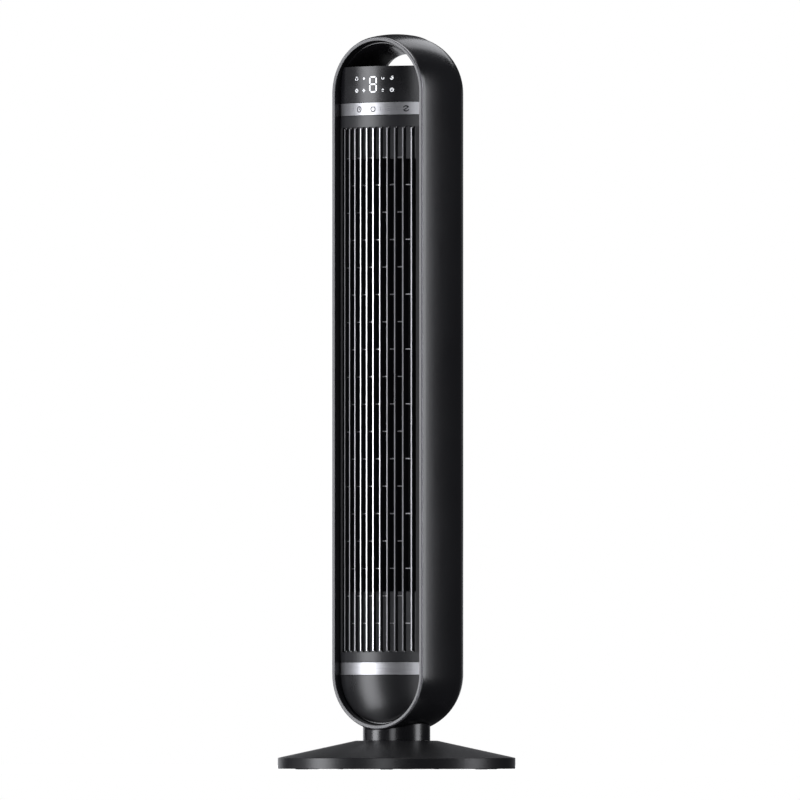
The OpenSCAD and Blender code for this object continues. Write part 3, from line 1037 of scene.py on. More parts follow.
@dataclass
class BaseStand:
    """The round base: a low cone with an upright rim, its feet, ballast and hub."""

    palette: Palette
    radius: float = 0.1485
    rim_top: float = 0.0146
    rim_bottom: float = 0.0008
    plateau_r: float = 0.051
    plateau_z: float = 0.036
    wall: float = 0.0025
    hub_r: float = 0.02105
    inlet_z: float = 0.0087
    posts_at: float = 0.12
    feet_at: float = 0.13

    def cover(self) -> Shape:
        """The moulded cover, from its rim up to the flat that the neck turns on.

        Returns:
            The closed shape.
        """
        inside, top = self.radius - self.wall, self.plateau_z
        rim = [
            (inside, self.rim_bottom),
            (self.radius - 0.0004, self.rim_bottom),
            (self.radius, self.rim_bottom + 0.0004),
            (self.radius, self.rim_top - 0.0007),
            (self.radius - 0.0003, self.rim_top - 0.0002),
            (self.radius - 0.001, self.rim_top + 0.0001),
        ]
        slope = (top - self.rim_top) / (self.radius - self.plateau_r)
        cone = [(r, top - (r - self.plateau_r) * slope) for r in (0.14, 0.115, 0.09, 0.07, 0.0535)]
        flat = [(0.052, top - 0.0003), (0.0505, top), (self.hub_r, top)]
        under = [(self.hub_r, top - self.wall), (self.plateau_r, top - self.wall)]
        under += [(inside, self.rim_top - 0.002)]
        shape = turned_solid([*rim, *cone, *flat, *under], ORIGIN, UPRIGHT, 224, closed=True)
        for inward, radius in ((0.008, 0.0046), (0.0012, 0.0052)):
            hole = rod((0.0, self.radius - inward, self.inlet_z), DEPTH_AXIS, radius, 0.02)
            shape = combine(shape, hole, Join.CUT)
        return shape

    def screw_posts(self) -> Shape:
        """Six posts under the cover that the bottom plate is screwed to.

        Returns:
            The closed shape.
        """
        shape = bmesh.new()
        for turn in range(30, 390, 60):
            absorb(shape, rod(around(self.posts_at, turn, 0.0042), UPRIGHT, 0.004, 0.0135, 24))
        return shape

    def feet(self) -> Shape:
        """Six ribbed rubber pads under the bottom plate.

        Returns:
            The closed shape.
        """
        shape = bmesh.new()
        ribs = [(0.0, 0.0003), (0.0025, 0.0003), (0.003, 0.0), (0.0045, 0.0), (0.005, 0.0003), (0.006, 0.0)]
        edge = [(0.0074, 0.0), (0.008, 0.0005), (0.008, 0.0017), (0.0, 0.0017)]
        for turn in range(0, 360, 60):
            absorb(shape, turned_solid([*ribs, *edge], around(self.feet_at, turn), UPRIGHT, 36))
        return shape

    def grommet(self) -> Shape:
        """The rubber bush in the rim that a mains cord passes through.

        Returns:
            The closed shape.
        """
        start = Vector((0.0, self.radius - 0.005, self.inlet_z))
        neck = [(0.0034, 0.0), (0.0045, 0.0), (0.0045, 0.0039)]
        collar = [(0.0051, 0.0039), (0.0051, 0.0045), (0.0047, 0.0049), (0.0038, 0.0049), (0.0034, 0.0045)]
        return turned_solid([*neck, *collar], start, DEPTH_AXIS, 48, closed=True)

    def build(self) -> None:
        """Builds the pieces and dresses the rest."""
        finish = self.palette
        cover = absorb(self.cover(), self.screw_posts())
        place = Fitting("base", "base_black", ("base_cover",), crease=28.0)
        fit(cover, "base_cover_shell", [finish.base], place)
        fit(self.feet(), "ribbed_feet", [finish.rubber], Fitting("base", "rubber", ("rubber_feet",)))
        fit(self.grommet(), "cord_bush", [finish.rubber], Fitting("base", "rubber", ("cord_grommet",)))
        dress(finish.inner, "base_plate", "swivel_hub")
        dress(finish.iron, "ballast_ring")
        dress(finish.steel, "base_screws", "hub_screws", "gear_screws")
        dress(finish.acetal, "thrust_washer", "fixed_gear")


@dataclass
class Neck:
    """The round neck, scalloped to the tower's underside."""

    palette: Palette
    radius: float = 0.04215
    foot: float = 0.03605
    core_foot: float = 0.0376
    top: float = 0.0626
    core_r: float = 0.04035
    bore: float = 0.03815
    floor: float = 0.041
    hub_r: float = 0.02105
    gap: float = 0.0013

    def build(self) -> None:
        """Builds the neck's skin and core, and dresses what is in it."""
        inside, edge = self.core_r - 0.0001, 0.0001
        skin = [(inside, self.foot), (self.radius - edge, self.foot), (self.radius, self.foot + edge)]
        skin += [(self.radius, self.top), (inside, self.top)]
        outer = combine(turned_solid(skin, ORIGIN, UPRIGHT, 144, True), TOWER.solid(self.gap), Join.CUT)
        core = [(self.hub_r, self.core_foot), (self.core_r, self.core_foot), (self.core_r, self.top)]
        core += [(self.bore, self.top), (self.bore, self.floor), (self.hub_r, self.floor)]
        inner = combine(turned_solid(core, ORIGIN, UPRIGHT, 120, True), TOWER.solid(0.0001), Join.CUT)
        place = on_tower("housing", "neck", crease=40.0)
        fit(absorb(outer, inner), "neck_sleeve", [self.palette.housing], place)
        dress(self.palette.steel, "neck_screws", "turntable_plate")
        dress(self.palette.acetal, "swivel_bush")


# ---------- housings ----------


@dataclass
class Housing:
    """The front housing with its ring and belt, and the rounded rear casing."""

    palette: Palette
    ledge_r: float = 0.058
    ledge_y: float = -0.032
    ledge_back: float = -0.0295
    mouth_r: float = 0.0626
    fillet: float = 0.002
    post_x: float = 0.058
    post_zs: tuple[float, ...] = (0.13, 0.35, 0.58, 0.812)
    window_x: float = 0.052
    window_low: float = 0.205
    window_high: float = 0.785

    def ring_outline(self) -> Outline:
        """The front housing's profile, from the ring's rounded lip back to the seam and in again.

        Returns:
            Its (half width, depth) points.
        """
        turns = [math.radians(a) for a in evenly(90.0, 0.0, 7)]
        side, front = TOWER.front_r, TOWER.ring_y
        fillet = self.fillet
        lip = [(side - fillet * (1.0 - math.cos(t)), front + fillet * (1.0 - math.sin(t))) for t in turns]
        depths = evenly(front + fillet + 0.0012, TOWER.seam_y - 0.0004, 18)
        belt = [*[(TOWER.side(y), y) for y in depths], (TOWER.seam_r - 0.0004, TOWER.seam_y)]
        back = [(TOWER.side(y) - TOWER.wall, y) for y in evenly(TOWER.seam_y, self.ledge_back, 8)]
        ledge = [(self.ledge_r, self.ledge_back), (self.ledge_r, self.ledge_y), (self.mouth_r, self.ledge_y)]
        mouth = [(self.mouth_r, -0.035), (0.0646, front + 0.0006), (0.0650, front + 0.0001)]
        return [*lip, *belt, *back, *ledge, *mouth]

    def handle_wall(self, start: float, end: float) -> Shape:
        """The solid that the hand opening's wall and shelf are cut from, between two depths."""
        form = TOWER.opening(TOWER.wall, TOWER.shelf - TOWER.wall)
        return combine(form, block((-0.09, start, 0.85), (0.09, end, 0.95)), Join.KEEP_SHARED)

    def front(self) -> Shape:
        """The front housing, with the hand opening through it.

        Returns:
            The closed shape.
        """
        shape = TOWER.carried_round(self.ring_outline(), closed=True, parts=72)
        shape = combine(shape, self.handle_wall(-0.0336, TOWER.seam_y), Join.ADD)
        return combine(shape, TOWER.opening(0.0, TOWER.shelf), Join.CUT)

    def rear(self) -> Shape:
        """The rear casing, with the intake window, the hand opening and the screw channels.

        Returns:
            The closed shape.
        """
        outer = [TOWER.case(a) for a in evenly(90.0, 0.0, 26)]
        inner = [TOWER.case(a, TOWER.wall) for a in evenly(0.0, 90.0, 26)]
        shape = TOWER.carried_round([*outer, *inner], closed=False, parts=64)
        window = block((-self.window_x, 0.045, self.window_low), (self.window_x, 0.1, self.window_high))
        shape = combine(shape, window, Join.CUT)
        limits = [TOWER.case(a, 0.0006) for a in evenly(90.0, 0.0, 22)]
        within = TOWER.carried_round([*limits, (0.0, TOWER.case_y)], closed=False, parts=64)
        extras = self.handle_wall(TOWER.case_y, 0.094)
        channels = bmesh.new()
        for z in self.post_zs:
            for x in (-self.post_x, self.post_x):
                absorb(extras, rod((x, TOWER.case_y, z), DEPTH_AXIS, 0.0045, 0.05))
                absorb(channels, rod((x, 0.028, z), DEPTH_AXIS, 0.003, 0.06))
        shape = combine(shape, combine(extras, within, Join.KEEP_SHARED), Join.ADD)
        shape = combine(shape, channels, Join.CUT)
        return combine(shape, TOWER.opening(0.0, TOWER.shelf), Join.CUT)

    def build(self) -> None:
        """Builds both housings and dresses their screws."""
        finish = self.palette
        shell = self.front()
        for face in shell.faces:
            if face.calc_center_median().y < TOWER.ring_y + self.fillet and face.normal.y > -0.985:
                face.material_index = 1
        place = on_tower("housing", "front_housing", crease=32.0)
        fit(shell, "front_ring_housing", [finish.housing, finish.lip], place)
        fit(self.rear(), "rear_shell", [finish.housing], on_tower("housing", "rear_casing", crease=32.0))
        dress(finish.steel, "case_screws")


@dataclass
class RearIntake:
    """The snap-in rear grille: upright slats on curved ribs."""

    palette: Palette
    low: float = 0.2054
    high: float = 0.7846
    edge: float = 0.0516
    frame_height: float = 0.008
    rib_height: float = 0.002
    rib_depth: float = 0.002
    ribs: int = 16
    slats: int = 21
    slat_width: float = 0.0018
    slat_depth: float = 0.003
    sunk: float = 0.0002

    def rib(self, low: float, height: float) -> Shape:
        """A curved rib that follows the casing's skin.

        Args:
            low: its lower edge.
            height: how tall it is.

        Returns:
            The closed shape.
        """
        outer_r, outer_d = TOWER.case_r, TOWER.case_depth
        start = math.acos(self.edge / outer_r)
        angles = evenly(start, math.pi - start, 40)
        skin = [Vector((outer_r * math.cos(a), TOWER.case_y + outer_d * math.sin(a), low)) for a in angles]
        shape = bmesh.new()
        grown = bmesh.ops.extrude_edge_only(shape, edges=chain(shape, skin, False))["geom"]
        for point in corners_of(grown):
            inward = Vector((-point.co.x / outer_r**2, (TOWER.case_y - point.co.y) / outer_d**2, 0.0))
            point.co += inward.normalized() * self.rib_depth
        thicken(shape, (0.0, 0.0, height))
        return tidy(shape)

    def slat(self, x: float) -> Shape:
        """One upright slat, square to the casing's skin, with rounded corners.

        Args:
            x: where it stands.

        Returns:
            The closed shape.
        """
        half = self.slat_width / 2
        shape = block((-half, -self.slat_depth, self.low + 0.003), (half, 0.0001, self.high - 0.003))
        round_off(shape, uprights(shape.edges), 0.0006, 3)
        reach = math.sqrt(1.0 - (x / (TOWER.case_r - self.sunk)) ** 2)
        y = TOWER.case_y + (TOWER.case_depth - self.sunk) * reach
        slope = math.atan2(x / TOWER.case_r**2, (y - TOWER.case_y) / TOWER.case_depth**2)
        bmesh.ops.rotate(shape, matrix=Matrix.Rotation(-slope, 3, "Z"), verts=shape.verts)
        bmesh.ops.translate(shape, vec=(x, y, 0.0), verts=shape.verts)
        return shape

    def build(self) -> None:
        """Builds the grille as one moulding."""
        shape = self.rib(self.low, self.frame_height)
        absorb(shape, self.rib(self.high - self.frame_height, self.frame_height))
        for height in evenly(self.low, self.high, self.ribs + 1)[1:-1]:
            absorb(shape, self.rib(height, self.rib_height))
        end = self.edge - 0.0012
        for x in evenly(-end, end, self.slats - 1):
            absorb(shape, self.slat(x))
        place = on_tower("inner_black", "rear_grille", crease=40.0)
        fit(shape, "intake_slats", [self.palette.inner], place)


# ---------- front ----------


@dataclass
class FrontGrille:
    """The outlet grille: upright fins with silver edges, tie ribs in alternate gaps, rails and stiles."""

    palette: Palette
    fins: int = 11
    pitch: float = 0.0102
    fin_width: float = 0.0019
    fin_low: float = 0.1481
    fin_high: float = 0.8005
    fin_depth: float = 0.014
    fin_growth: float = 0.55
    fin_back: float = -0.0314
    notch: float = 0.0034
    tenon: float = 0.0025
    rail_high: tuple[float, float] = (0.802, 0.8166)
    rail_low: tuple[float, float] = (0.1341, 0.1465)
    back: float = -0.0322
    stile_x: float = 0.0565
    mouth: tuple[float, float] = (0.222, 0.762)
    panel_x: float = 0.055
    tie_rows: int = 18
    tie_top: float = 0.763
    tie_step: float = 0.0342
    tie_inset: float = 0.005
    tie_depth: float = 0.003
    tie_height: float = 0.0016
    hair: float = 0.0001

    def fin(self, x: float) -> Shape:
        """One fin, its front edge on the bowed face and stopping short of the rails.

        Args:
            x: where it stands.

        Returns:
            The closed shape; its front faces carry the second material.
        """
        crest = FACE.depth(x)
        back = self.fin_depth + (crest - FACE.crest) * self.fin_growth + FACE.crest
        depth = min(back, self.fin_back) - crest
        low, high = self.fin_low, self.fin_high
        top = [(0.0, high), (self.notch, high), (self.notch, high + self.tenon), (depth, high + self.tenon)]
        foot = [(depth, low - self.tenon), (self.notch, low - self.tenon), (self.notch, low)]
        outline = [(0.0, low), *top, *foot]
        shape = bmesh.new()
        side = x - self.fin_width / 2
        shape.faces.new([shape.verts.new((side, crest + inward, z)) for inward, z in outline])
        thicken(shape, (self.fin_width, 0.0, 0.0))
        tidy(shape)
        front = [f for f in shape.faces if f.calc_center_median().y < crest + self.hair]
        for face in front:
            face.material_index = 1
        round_off(shape, uprights({e for f in front for e in f.edges}), 0.0003, 2, 0)
        for point in shape.verts:
            if point.co.y < crest + 0.001:
                point.co.y += FACE.depth(point.co.x) - crest
        return shape

    def tie(self, x: float, z: float) -> Shape:
        """One short tie rib between two fins, set back from the face.

        Args:
            x: the middle of its gap.
            z: its underside.

        Returns:
            The closed shape; its front faces carry the second material.
        """
        half = min(abs(x) + self.pitch / 2, FACE.half_width - 0.0045) - abs(x)
        start = FACE.depth(x) + self.tie_inset
        tie = block((-half, start, z), (half, start + self.tie_depth, z + self.tie_height))
        front = start + self.hair
        for face in tie.faces:
            face.material_index = int(face.calc_center_median().y < front)
        level = [
            e for e in tie.edges
            if all(v.co.y < front for v in e.verts) and abs(e.verts[0].co.x - e.verts[1].co.x) > 0.001
        ]
        round_off(tie, level, 0.0004, 2)
        for point in tie.verts:
            point.co.y += point.co.x * x / math.sqrt(FACE.radius**2 - x * x)
            point.co.x += x
        return trimmed(tie, (0.0, self.back, 0.0), DEPTH_AXIS)

    def ties(self) -> Shape:
        """The tie ribs: rows of them, in alternate gaps.

        Returns:
            The closed shape.
        """
        shape = bmesh.new()
        for row in range(self.tie_rows):
            for gap in range((row + 1) % 2, self.fins + 1, 2):
                x = (gap - self.fins / 2) * self.pitch
                absorb(shape, self.tie(x, self.tie_top - self.tie_step * row))
        return shape

    def closed_ends(self) -> Shape:
        """The solid panels that close the grille between its fins above and below the outlet.

        Returns:
            The closed shape.
        """
        shape = bmesh.new()
        for low, high in ((self.rail_low[1], self.mouth[0]), (self.mouth[1], self.rail_high[0])):
            panel = FACE.band(low, high, 0.002, self.panel_x, 0.0055)
            absorb(shape, tidy(trimmed(panel, (0.0, self.back, 0.0), DEPTH_AXIS)))
        return shape

    def stiles(self) -> Shape:
        """The upright at each side of the fins.

        Returns:
            The closed shape.
        """
        shape = bmesh.new()
        for side in (-1.0, 1.0):
            stile = FACE.band(self.rail_low[1] - 0.0005, self.rail_high[0] + 0.0005, 0.0036)
            trimmed(stile, (side * self.stile_x, 0.0, 0.0), (-side, 0.0, 0.0))
            absorb(shape, tidy(stile))
        return shape

    def build(self) -> None:
        """Builds the grille's pieces."""
        finish = self.palette
        fins = bmesh.new()
        for number in range(self.fins):
            absorb(fins, self.fin((number - (self.fins - 1) / 2) * self.pitch))
        place = on_tower("grille_black", "front_grille", crease=50.0)
        fit(fins, "outlet_fins", [finish.grille, finish.fin_edge], place)
        fit(self.ties(), "fin_ties", [finish.grille, finish.fin_edge], place)
        fit(self.closed_ends(), "grille_end_panels", [finish.panel], place)
        rails = absorb(FACE.band(*self.rail_high, 0.0024), FACE.band(*self.rail_low, 0.0024))
        softened = on_tower("grille_black", "front_grille", edge=0.0004, crease=40.0)
        fit(rails, "grille_rails", [finish.grille], softened)
        fit(self.stiles(), "grille_stiles", [finish.inner], softened)


class Mark(Enum):
    """The generic signs on the window and on the touch strip, each a list of strokes."""

    BREEZE = tuple(("arc", *around(0.5, a)[:2], 0.42, a - 100, a + 100) for a in (90, 210, 330))
    SPARKLE = tuple(("bar", 0.0, 0.0, 1.8, a) for a in (0, 60, 120))
    MOON = (("arc", 0.0, 0.1, 0.8, 150, 390),)
    LEAF = (
        ("arc", -0.1, 0.0, 0.75, 180, 400),
        ("arc", 0.35, 0.35, 0.55, 60, 200),
        ("bar", 0.1, -0.1, 1.2, 45),
    )
    LOCK = (("arc", 0.0, 0.0, 0.85), ("bar", 0.0, 0.0, 1.4, 45))
    DOTS = tuple(("dot", x, z, 0.3) for x, z in ((0.0, 0.7), (-0.7, 0.0), (0.7, 0.0), (0.0, -0.7)))
    HOUSE = (("bar", -0.35, 0.35, 1.2, 45), ("bar", 0.35, 0.35, 1.2, -45), ("bar", 0.0, -0.75, 1.4))
    CLOCK = (("arc", 0.0, 0.0, 0.88), ("bar", 0.0, 0.28, 0.8, 90), ("bar", 0.24, -0.05, 0.7, -20))
    POWER = (("arc", 0.0, -0.05, 0.85, 118, 422), ("bar", 0.0, 0.62, 0.9, 90))
    LINES = tuple(("bar", 0.0, z, 1.5) for z in (0.75, 0.0, -0.75))
    SWING = (
        ("arc", 0.0, 0.0, 0.9, 20, 160),
        ("arc", 0.0, 0.0, 0.9, 200, 340),
        ("arc", 0.0, 0.42, 0.4, -90, 150),
        ("arc", 0.0, -0.42, 0.4, 90, 330),
    )
    TICK = (("bar", -0.4, -0.1, 0.9, -45), ("bar", 0.3, 0.1, 1.3, 45))
    BAR = (("bar", 0.0, 0.0, 2.0, 90),)


class Sign:
    """A flat sign on the plane y = 0, made of bars, arcs and dots round its own centre."""

    def __init__(self, x: float, z: float, size: float, stroke: float) -> None:
        """Starts an empty sign.

        Args:
            x: where its centre is across the face.
            z: how high its centre is.
            size: half of its height; strokes are measured in it.
            stroke: how wide its lines are.
        """
        self.shape = bmesh.new()
        self.x, self.z, self.size, self.stroke = x, z, size, stroke

    def draw(self, mark: Mark) -> "Sign":
        """Draws a generic sign.

        Args:
            mark: which one.

        Returns:
            The sign.
        """
        ways = {"arc": self.arc, "bar": self.bar, "dot": self.dot}
        for kind, *numbers in mark.value:
            ways[kind](*numbers)
        return self

    def bar(self, x: float, z: float, length: float, angle: float = 0.0) -> None:
        """A straight line with square ends.

        Args:
            x: its middle, across.
            z: its middle, upwards.
            length: its length, with half a stroke to spare at each end.
            angle: its slope in degrees.
        """
        half_w = self.stroke / 2
        half_l = length * self.size / 2 - half_w
        places = ((half_l, half_w), (-half_l, half_w), (-half_l, -half_w), (half_l, -half_w))
        made = [self.shape.verts.new((along, 0.0, across)) for along, across in places]
        self.shape.faces.new(made)
        turn = Matrix.Rotation(-math.radians(angle), 3, "Y")
        bmesh.ops.rotate(self.shape, matrix=turn, verts=made)
        bmesh.ops.translate(self.shape, vec=(x * self.size, 0.0, z * self.size), verts=made)

    def arc(self, x: float, z: float, radius: float, start: float = 0.0, end: float = 360.0) -> None:
        """A ring or part of one.

        Args:
            x: its centre, across.
            z: its centre, upwards.
            radius: its middle radius.
            start: where it starts, in degrees from the right, anticlockwise.
            end: where it ends.
        """
        centre = Vector((x * self.size, 0.0, z * self.size))
        along = Vector((math.cos(math.radians(start)), 0.0, math.sin(math.radians(start))))
        inner, outer = radius * self.size - self.stroke / 2, radius * self.size + self.stroke / 2
        wire = chain(self.shape, [centre + along * inner, centre + along * outer], False)
        parts = max(6, round(abs(end - start) / 15))
        sweep(self.shape, wire, centre, DEPTH_AXIS, -math.radians(end - start), parts)

    def dot(self, x: float, z: float, radius: float) -> None:
        """A filled disc.

        Args:
            x: its centre, across.
            z: its centre, upwards.
            radius: its radius.
        """
        turn = Matrix.Rotation(math.radians(90), 4, "X")
        place = Matrix.Translation((x * self.size, 0.0, z * self.size)) @ turn
        bmesh.ops.create_circle(
            self.shape, cap_ends=True, segments=14, radius=radius * self.size, matrix=place
        )

    def finish(self, thickness: float) -> Shape:
        """Gives the sign its thickness and moves it into place.

        Args:
            thickness: how thick it is, to both sides of the plane.

        Returns:
            The closed shape.
        """
        bmesh.ops.remove_doubles(self.shape, verts=self.shape.verts, dist=SLIVER)
        bmesh.ops.translate(self.shape, vec=(self.x, thickness / 2, self.z), verts=self.shape.verts)
        thicken(self.shape, (0.0, -thickness, 0.0))
        return tidy(self.shape)


@dataclass
class ControlPanel:
    """The display window with its lit signs, and the silver touch strip under it."""

    palette: Palette
    lens_low: float = 0.833
    lens_high: float = 0.878
    strip: tuple[float, float] = (0.817, 0.8326)
    digit_z: float = 0.8553
    digit_half: float = 0.0093
    digit_x: float = 0.0049
    outer_x: float = 0.027
    inner_x: float = 0.0145
    upper_z: float = 0.8628
    lower_z: float = 0.8479
    print_z: float = 0.8245
    key_x: float = 0.0227
    end_key_x: float = 0.045
    bars: tuple[float, ...] = (-0.0335, -0.0112, 0.0112, 0.0335)
    lit_thickness: float = 0.0002
    ink_thickness: float = 0.0001
    proud: float = 0.00006

    def lens(self) -> Shape:
        """The smoked window: a bowed band with its upper corners rounded to the ring.

        Returns:
            The closed shape.
        """
        shape = FACE.band(self.lens_low, self.lens_high, 0.0025)
        keep = rod((0.0, -0.07, TOWER.high), DEPTH_AXIS, FACE.half_width, 0.06, 160)
        low = block((-0.07, -0.07, 0.8), (0.07, -0.01, TOWER.high))
        return combine(shape, combine(keep, low, Join.ADD), Join.KEEP_SHARED)

    def digit(self) -> Shape:
        """The seven lit bars of the speed figure.

        Returns:
            The closed shape.
        """
        sign = Sign(0.0, self.digit_z, self.digit_half, 0.0014)
        side = self.digit_x / self.digit_half
        for z in (-1.0, 0.0, 1.0):
            sign.bar(0.0, z, side * 1.72)
        for x in (-side, side):
            for z in (-0.5, 0.5):
                sign.bar(x, z, 0.9, 90)
        return FACE.wrap(sign.finish(self.lit_thickness), self.proud)

    def lit_signs(self) -> Shape:
        """Eight small lit signs round the figure.

        Returns:
            The closed shape.
        """
        rows = {
            self.upper_z: (Mark.BREEZE, Mark.SPARKLE, Mark.MOON, Mark.LEAF),
            self.lower_z: (Mark.LOCK, Mark.DOTS, Mark.HOUSE, Mark.CLOCK),
        }
        shape = bmesh.new()
        for z, marks in rows.items():
            for x, mark in zip((-self.outer_x, -self.inner_x, self.inner_x, self.outer_x), marks):
                size = 0.0026 if abs(x) == self.outer_x else 0.0021
                absorb(shape, Sign(x, z, size, 0.00038).draw(mark).finish(self.lit_thickness))
        return FACE.wrap(shape, self.proud)

    def printed(self, marks: dict[float, Mark], size: float, stroke: float) -> Shape:
        """Signs printed in one row over the touch keys.

        Args:
            marks: the signs by their places across the strip.
            size: half of their height.
            stroke: how wide their lines are.

        Returns:
            The closed shapes.
        """
        shape = bmesh.new()
        for x, mark in marks.items():
            absorb(shape, Sign(x, self.print_z, size, stroke).draw(mark).finish(self.ink_thickness))
        return FACE.wrap(shape, self.proud)

    def build(self) -> None:
        """Builds the panel's pieces and dresses what lies behind them."""
        finish = self.palette
        glass = on_tower("gloss_black", "display_lens", edge=0.0004, crease=40.0)
        fit(self.lens(), "display_window", [finish.window], glass)
        fit(self.digit(), "speed_figure", [finish.glow], on_tower("digit"))
        fit(self.lit_signs(), "lit_signs", [finish.glow], on_tower("digit"))
        band = on_tower("silver_band", "touch_strip", edge=0.0003, crease=40.0)
        fit(FACE.band(*self.strip, 0.002), "touch_band", [finish.silver], band)
        dark = {-self.key_x: Mark.CLOCK, 0.0: Mark.POWER, self.end_key_x: Mark.SWING}
        fit(self.printed(dark, 0.0038, 0.0012), "key_signs", [finish.ink], on_tower("inner_black"))
        faint = self.printed({-self.end_key_x: Mark.TICK, self.key_x: Mark.LINES}, 0.003, 0.0008)
        absorb(faint, self.printed(dict.fromkeys(self.bars, Mark.BAR), 0.0024, 0.0005))
        fit(faint, "key_separators", [finish.faint_ink], on_tower("inner_black"))
        dress(finish.inner, "control_housing")
        dress(finish.board, "display_board")
        dress(finish.panel, "digit_module")
        dress(finish.bronze, "touch_springs")


@dataclass
class LowerFace:
    """The silver trim band and the domed insert under the grille."""

    palette: Palette
    trim: tuple[float, float] = (0.1182, 0.1337)
    dome_radius: float = 0.128
    dome_edge: float = 0.0613
    dome_wall: float = 0.0024
    dome_top: float = 0.1178

    def skin(self, r: float, sphere: float) -> float:
        """Depth of a sphere's skin at a distance from the middle."""
        return FACE.crest + self.dome_radius - math.sqrt(sphere**2 - r**2)

    def dome(self) -> Shape:
        """The domed insert: part of a sphere, round below and straight above.

        Returns:
            The closed shape.
        """
        outside, inside = self.dome_radius, self.dome_radius - self.dome_wall
        front = [(r, self.skin(r, outside)) for r in evenly(0.0, self.dome_edge - 0.0004, 20)]
        rim = [(self.dome_edge, self.skin(self.dome_edge, outside) + 0.0005)]
        back = [(r, self.skin(r, inside)) for r in evenly(self.dome_edge, 0.0, 12)]
        shape = turned_solid([*front, *rim, *back], UPRIGHT * TOWER.low, DEPTH_AXIS, 144)
        return tidy(trimmed(shape, (0.0, 0.0, self.dome_top), UPRIGHT))

    def build(self) -> None:
        """Builds the trim and the dome."""
        finish = self.palette
        band = on_tower("silver_band", "lower_trim", edge=0.0003, crease=40.0)
        fit(FACE.band(*self.trim, 0.002), "lower_band", [finish.silver], band)
        fit(self.dome(), "domed_insert", [finish.dome], on_tower("dome_black", "lower_cover", crease=40.0))


# ---------- inside ----------


@dataclass
class AirPath:
    """The duct, its closing panels and the impeller."""

    palette: Palette

    def build(self) -> None:
        """Dresses the pieces that air passes."""
        finish = self.palette
        dress(finish.inner, "duct_scroll", "duct_tongue", "duct_lower_plate", "duct_upper_plate")
        dress(finish.panel, "lower_baffle", "upper_baffle")
        dress(finish.grille, "impeller")
        dress(finish.rubber, "impeller_hub", "top_bearing_holder", "motor_grommets")
        dress(finish.bronze, "top_bearing_bush", "motor_bushes")
        dress(finish.steel, "top_pin", "motor_shaft")


@dataclass
class Works:
    """The motors, the boards and the wiring."""

    palette: Palette

    def build(self) -> None:
        """Dresses the works."""
        finish = self.palette
        dress(finish.steel, "motor_can", "motor_rotor", "oscillation_motor")
        dress(finish.steel, "motor_screws", "chassis_screws", "oscillation_screws")
        dress(finish.copper, "motor_stator")
        dress(finish.inner, "chassis_plate")
        dress(finish.board, "main_board")
        dress(finish.acetal, "board_standoffs", "drive_pinion")
        dress(finish.rubber, "wiring_harness")


# ---------- studio ----------


def ahead(azimuth: float, distance: float, height: float) -> Vector:
    """A place at an azimuth from the fan's front, a distance from its axis."""
    turn = math.radians(azimuth)
    return Vector((distance * math.sin(turn), -distance * math.cos(turn), height))


def panel_light(name: str, width: float, height: float, energy: float) -> bpy.types.Object:
    """A rectangular light that the camera doesn't see.

    Args:
        name: its name.
        width: its width.
        height: its height.
        energy: its power in watts.

    Returns:
        The light, at the origin and facing down.
    """
    lamp = bpy.data.lights.new(name, "AREA")
    lamp.shape = "RECTANGLE"
    lamp.size, lamp.size_y = width, height
    lamp.energy = energy
    made = stand(name, lamp)
    made.visible_camera = False
    return made


@dataclass(frozen=True)
class Softbox:
    """One soft panel light standing round the fan."""

    name: str
    azimuth: float
    spread: float
    radiance: float
    low: float = -0.2
    high: float = 2.0
    distance: float = 2.4
    colour: Colour = (0.95, 0.96, 1.0)

    def build(self) -> None:
        """Hangs the light, facing the fan's axis."""
        width = 2.0 * self.distance * math.tan(math.radians(self.spread / 2))
        height = self.high - self.low
        made = panel_light(self.name, width, height, self.radiance * 4.0 * width * height)
        made.data.color = self.colour
        made.location = ahead(self.azimuth, self.distance, (self.low + self.high) / 2)
        made.rotation_euler = (math.radians(90), 0.0, math.radians(self.azimuth))


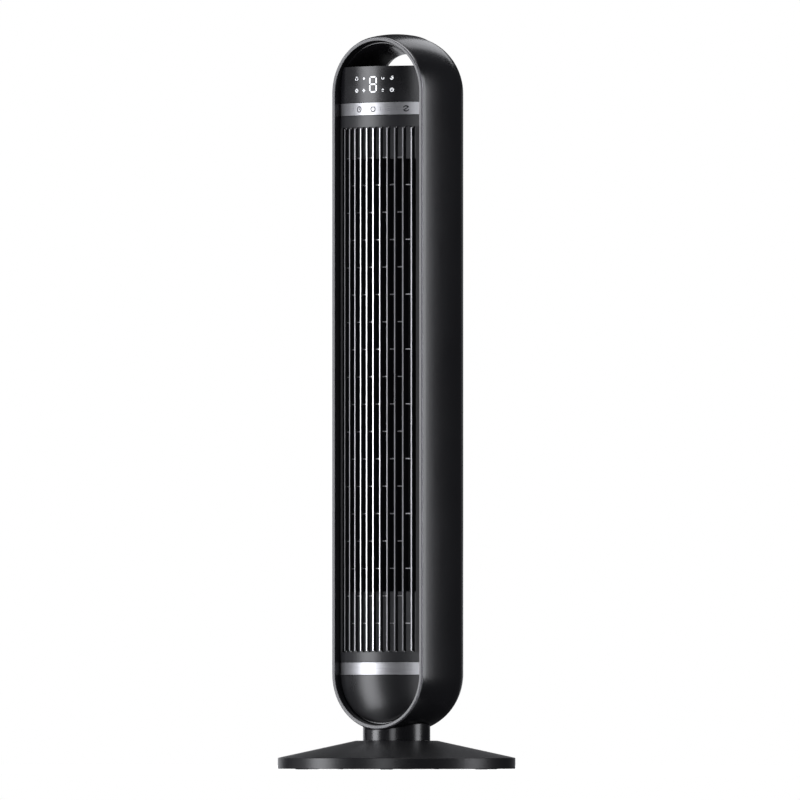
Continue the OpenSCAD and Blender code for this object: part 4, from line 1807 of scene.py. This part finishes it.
@dataclass
class Studio:
    """Camera, floor and lights."""

    azimuth: float = 35.5
    distance: float = 20.0
    eye: float = 0.05
    aim_right: float = 0.00425
    aim_z: float = 0.4619
    lens: float = 719.8
    floor_size: float = 3.4
    white: Colour = (1.0, 1.0, 1.0)
    dim: Colour = (0.022, 0.0225, 0.025)
    overhead_side: float = 2.0
    overhead_power: float = 25.6
    overhead_at: Colour = (0.2, -0.2, 2.6)
    boxes: tuple[Softbox, ...] = (
        Softbox("left_key", -41.5, 23.0, 5.4, low=-1.3),
        Softbox("left_fill", -72.0, 26.0, 0.2),
        Softbox("front_right_strip", 22.5, 15.0, 2.3, low=-1.3),
        Softbox("belt_light", 113.5, 20.0, 3.9),
        Softbox("rear_light", 206.0, 44.0, 0.12, high=1.0),
        Softbox("cone_light", 215.5, 30.0, 0.6, low=-0.1, high=0.3),
        Softbox("back_fill", 240.0, 24.0, 0.6, low=-1.3),
        Softbox("side_fill", 76.0, 24.0, 1.2, low=-2.4, high=-0.7),
        Softbox("top_light", 192.0, 26.0, 1.25, low=1.8, high=4.6),
    )

    def camera(self) -> None:
        """Sets the long-lens camera low in front and to the right of the fan."""
        turn = math.radians(self.azimuth)
        lens = bpy.data.cameras.new("long_lens")
        lens.lens = self.lens
        lens.sensor_width = 36.0
        lens.clip_end = 100.0
        made = stand("long_lens", lens)
        made.location = ahead(self.azimuth, self.distance, self.eye)
        aim = Vector((math.cos(turn), math.sin(turn), 0.0)) * self.aim_right + UPRIGHT * self.aim_z
        made.rotation_euler = (aim - made.location).to_track_quat("-Z", "Y").to_euler()
        bpy.context.scene.camera = made

    def floor(self) -> None:
        """Lays a wide pale floor."""
        shape = bmesh.new()
        bmesh.ops.create_grid(shape, x_segments=8, y_segments=8, size=self.floor_size / 2)
        made = stand("pale_floor", meshed(shape, "pale_floor"))
        made.data.materials.append(PaleFloor("pale_floor", (0.93, 0.93, 0.93)).material())
        made.visible_glossy = False
        made.visible_diffuse = False
        made.visible_shadow = False

    def sky(self) -> None:
        """A white surround for the camera, and a dim one for reflections."""
        world = bpy.data.worlds.new("white_surround")
        world.use_nodes = True
        tree = world.node_tree
        tree.nodes.clear()
        path = tree.nodes.new("ShaderNodeLightPath")
        mix, out = tree.nodes.new("ShaderNodeMixShader"), tree.nodes.new("ShaderNodeOutputWorld")
        tree.links.new(path.outputs["Is Camera Ray"], mix.inputs[0])
        for number, colour in ((1, self.dim), (2, self.white)):
            light = tree.nodes.new("ShaderNodeBackground")
            light.inputs["Color"].default_value = (*colour, 1.0)
            tree.links.new(light.outputs[0], mix.inputs[number])
        tree.links.new(mix.outputs[0], out.inputs[0])
        bpy.context.scene.world = world

    def build(self) -> None:
        """Sets the studio up."""
        self.camera()
        self.floor()
        self.sky()
        overhead = panel_light("overhead", self.overhead_side, self.overhead_side, self.overhead_power)
        overhead.location = self.overhead_at
        for box in self.boxes:
            box.build()
        bpy.context.scene.view_settings.view_transform = "Standard"


def main() -> None:
    """Builds the studio and every sub-assembly in order."""
    logging.basicConfig(level=logging.INFO, format="%(message)s")
    Studio().build()
    palette = Palette()
    builders: tuple[Callable[[Palette], object], ...] = (
        BaseStand, Neck, Housing, RearIntake, FrontGrille, ControlPanel, LowerFace, AirPath, Works
    )
    for builder in builders:
        LOG.info("building %s", builder.__name__)
        builder(palette).build()


if __name__ == "__main__":
    main()
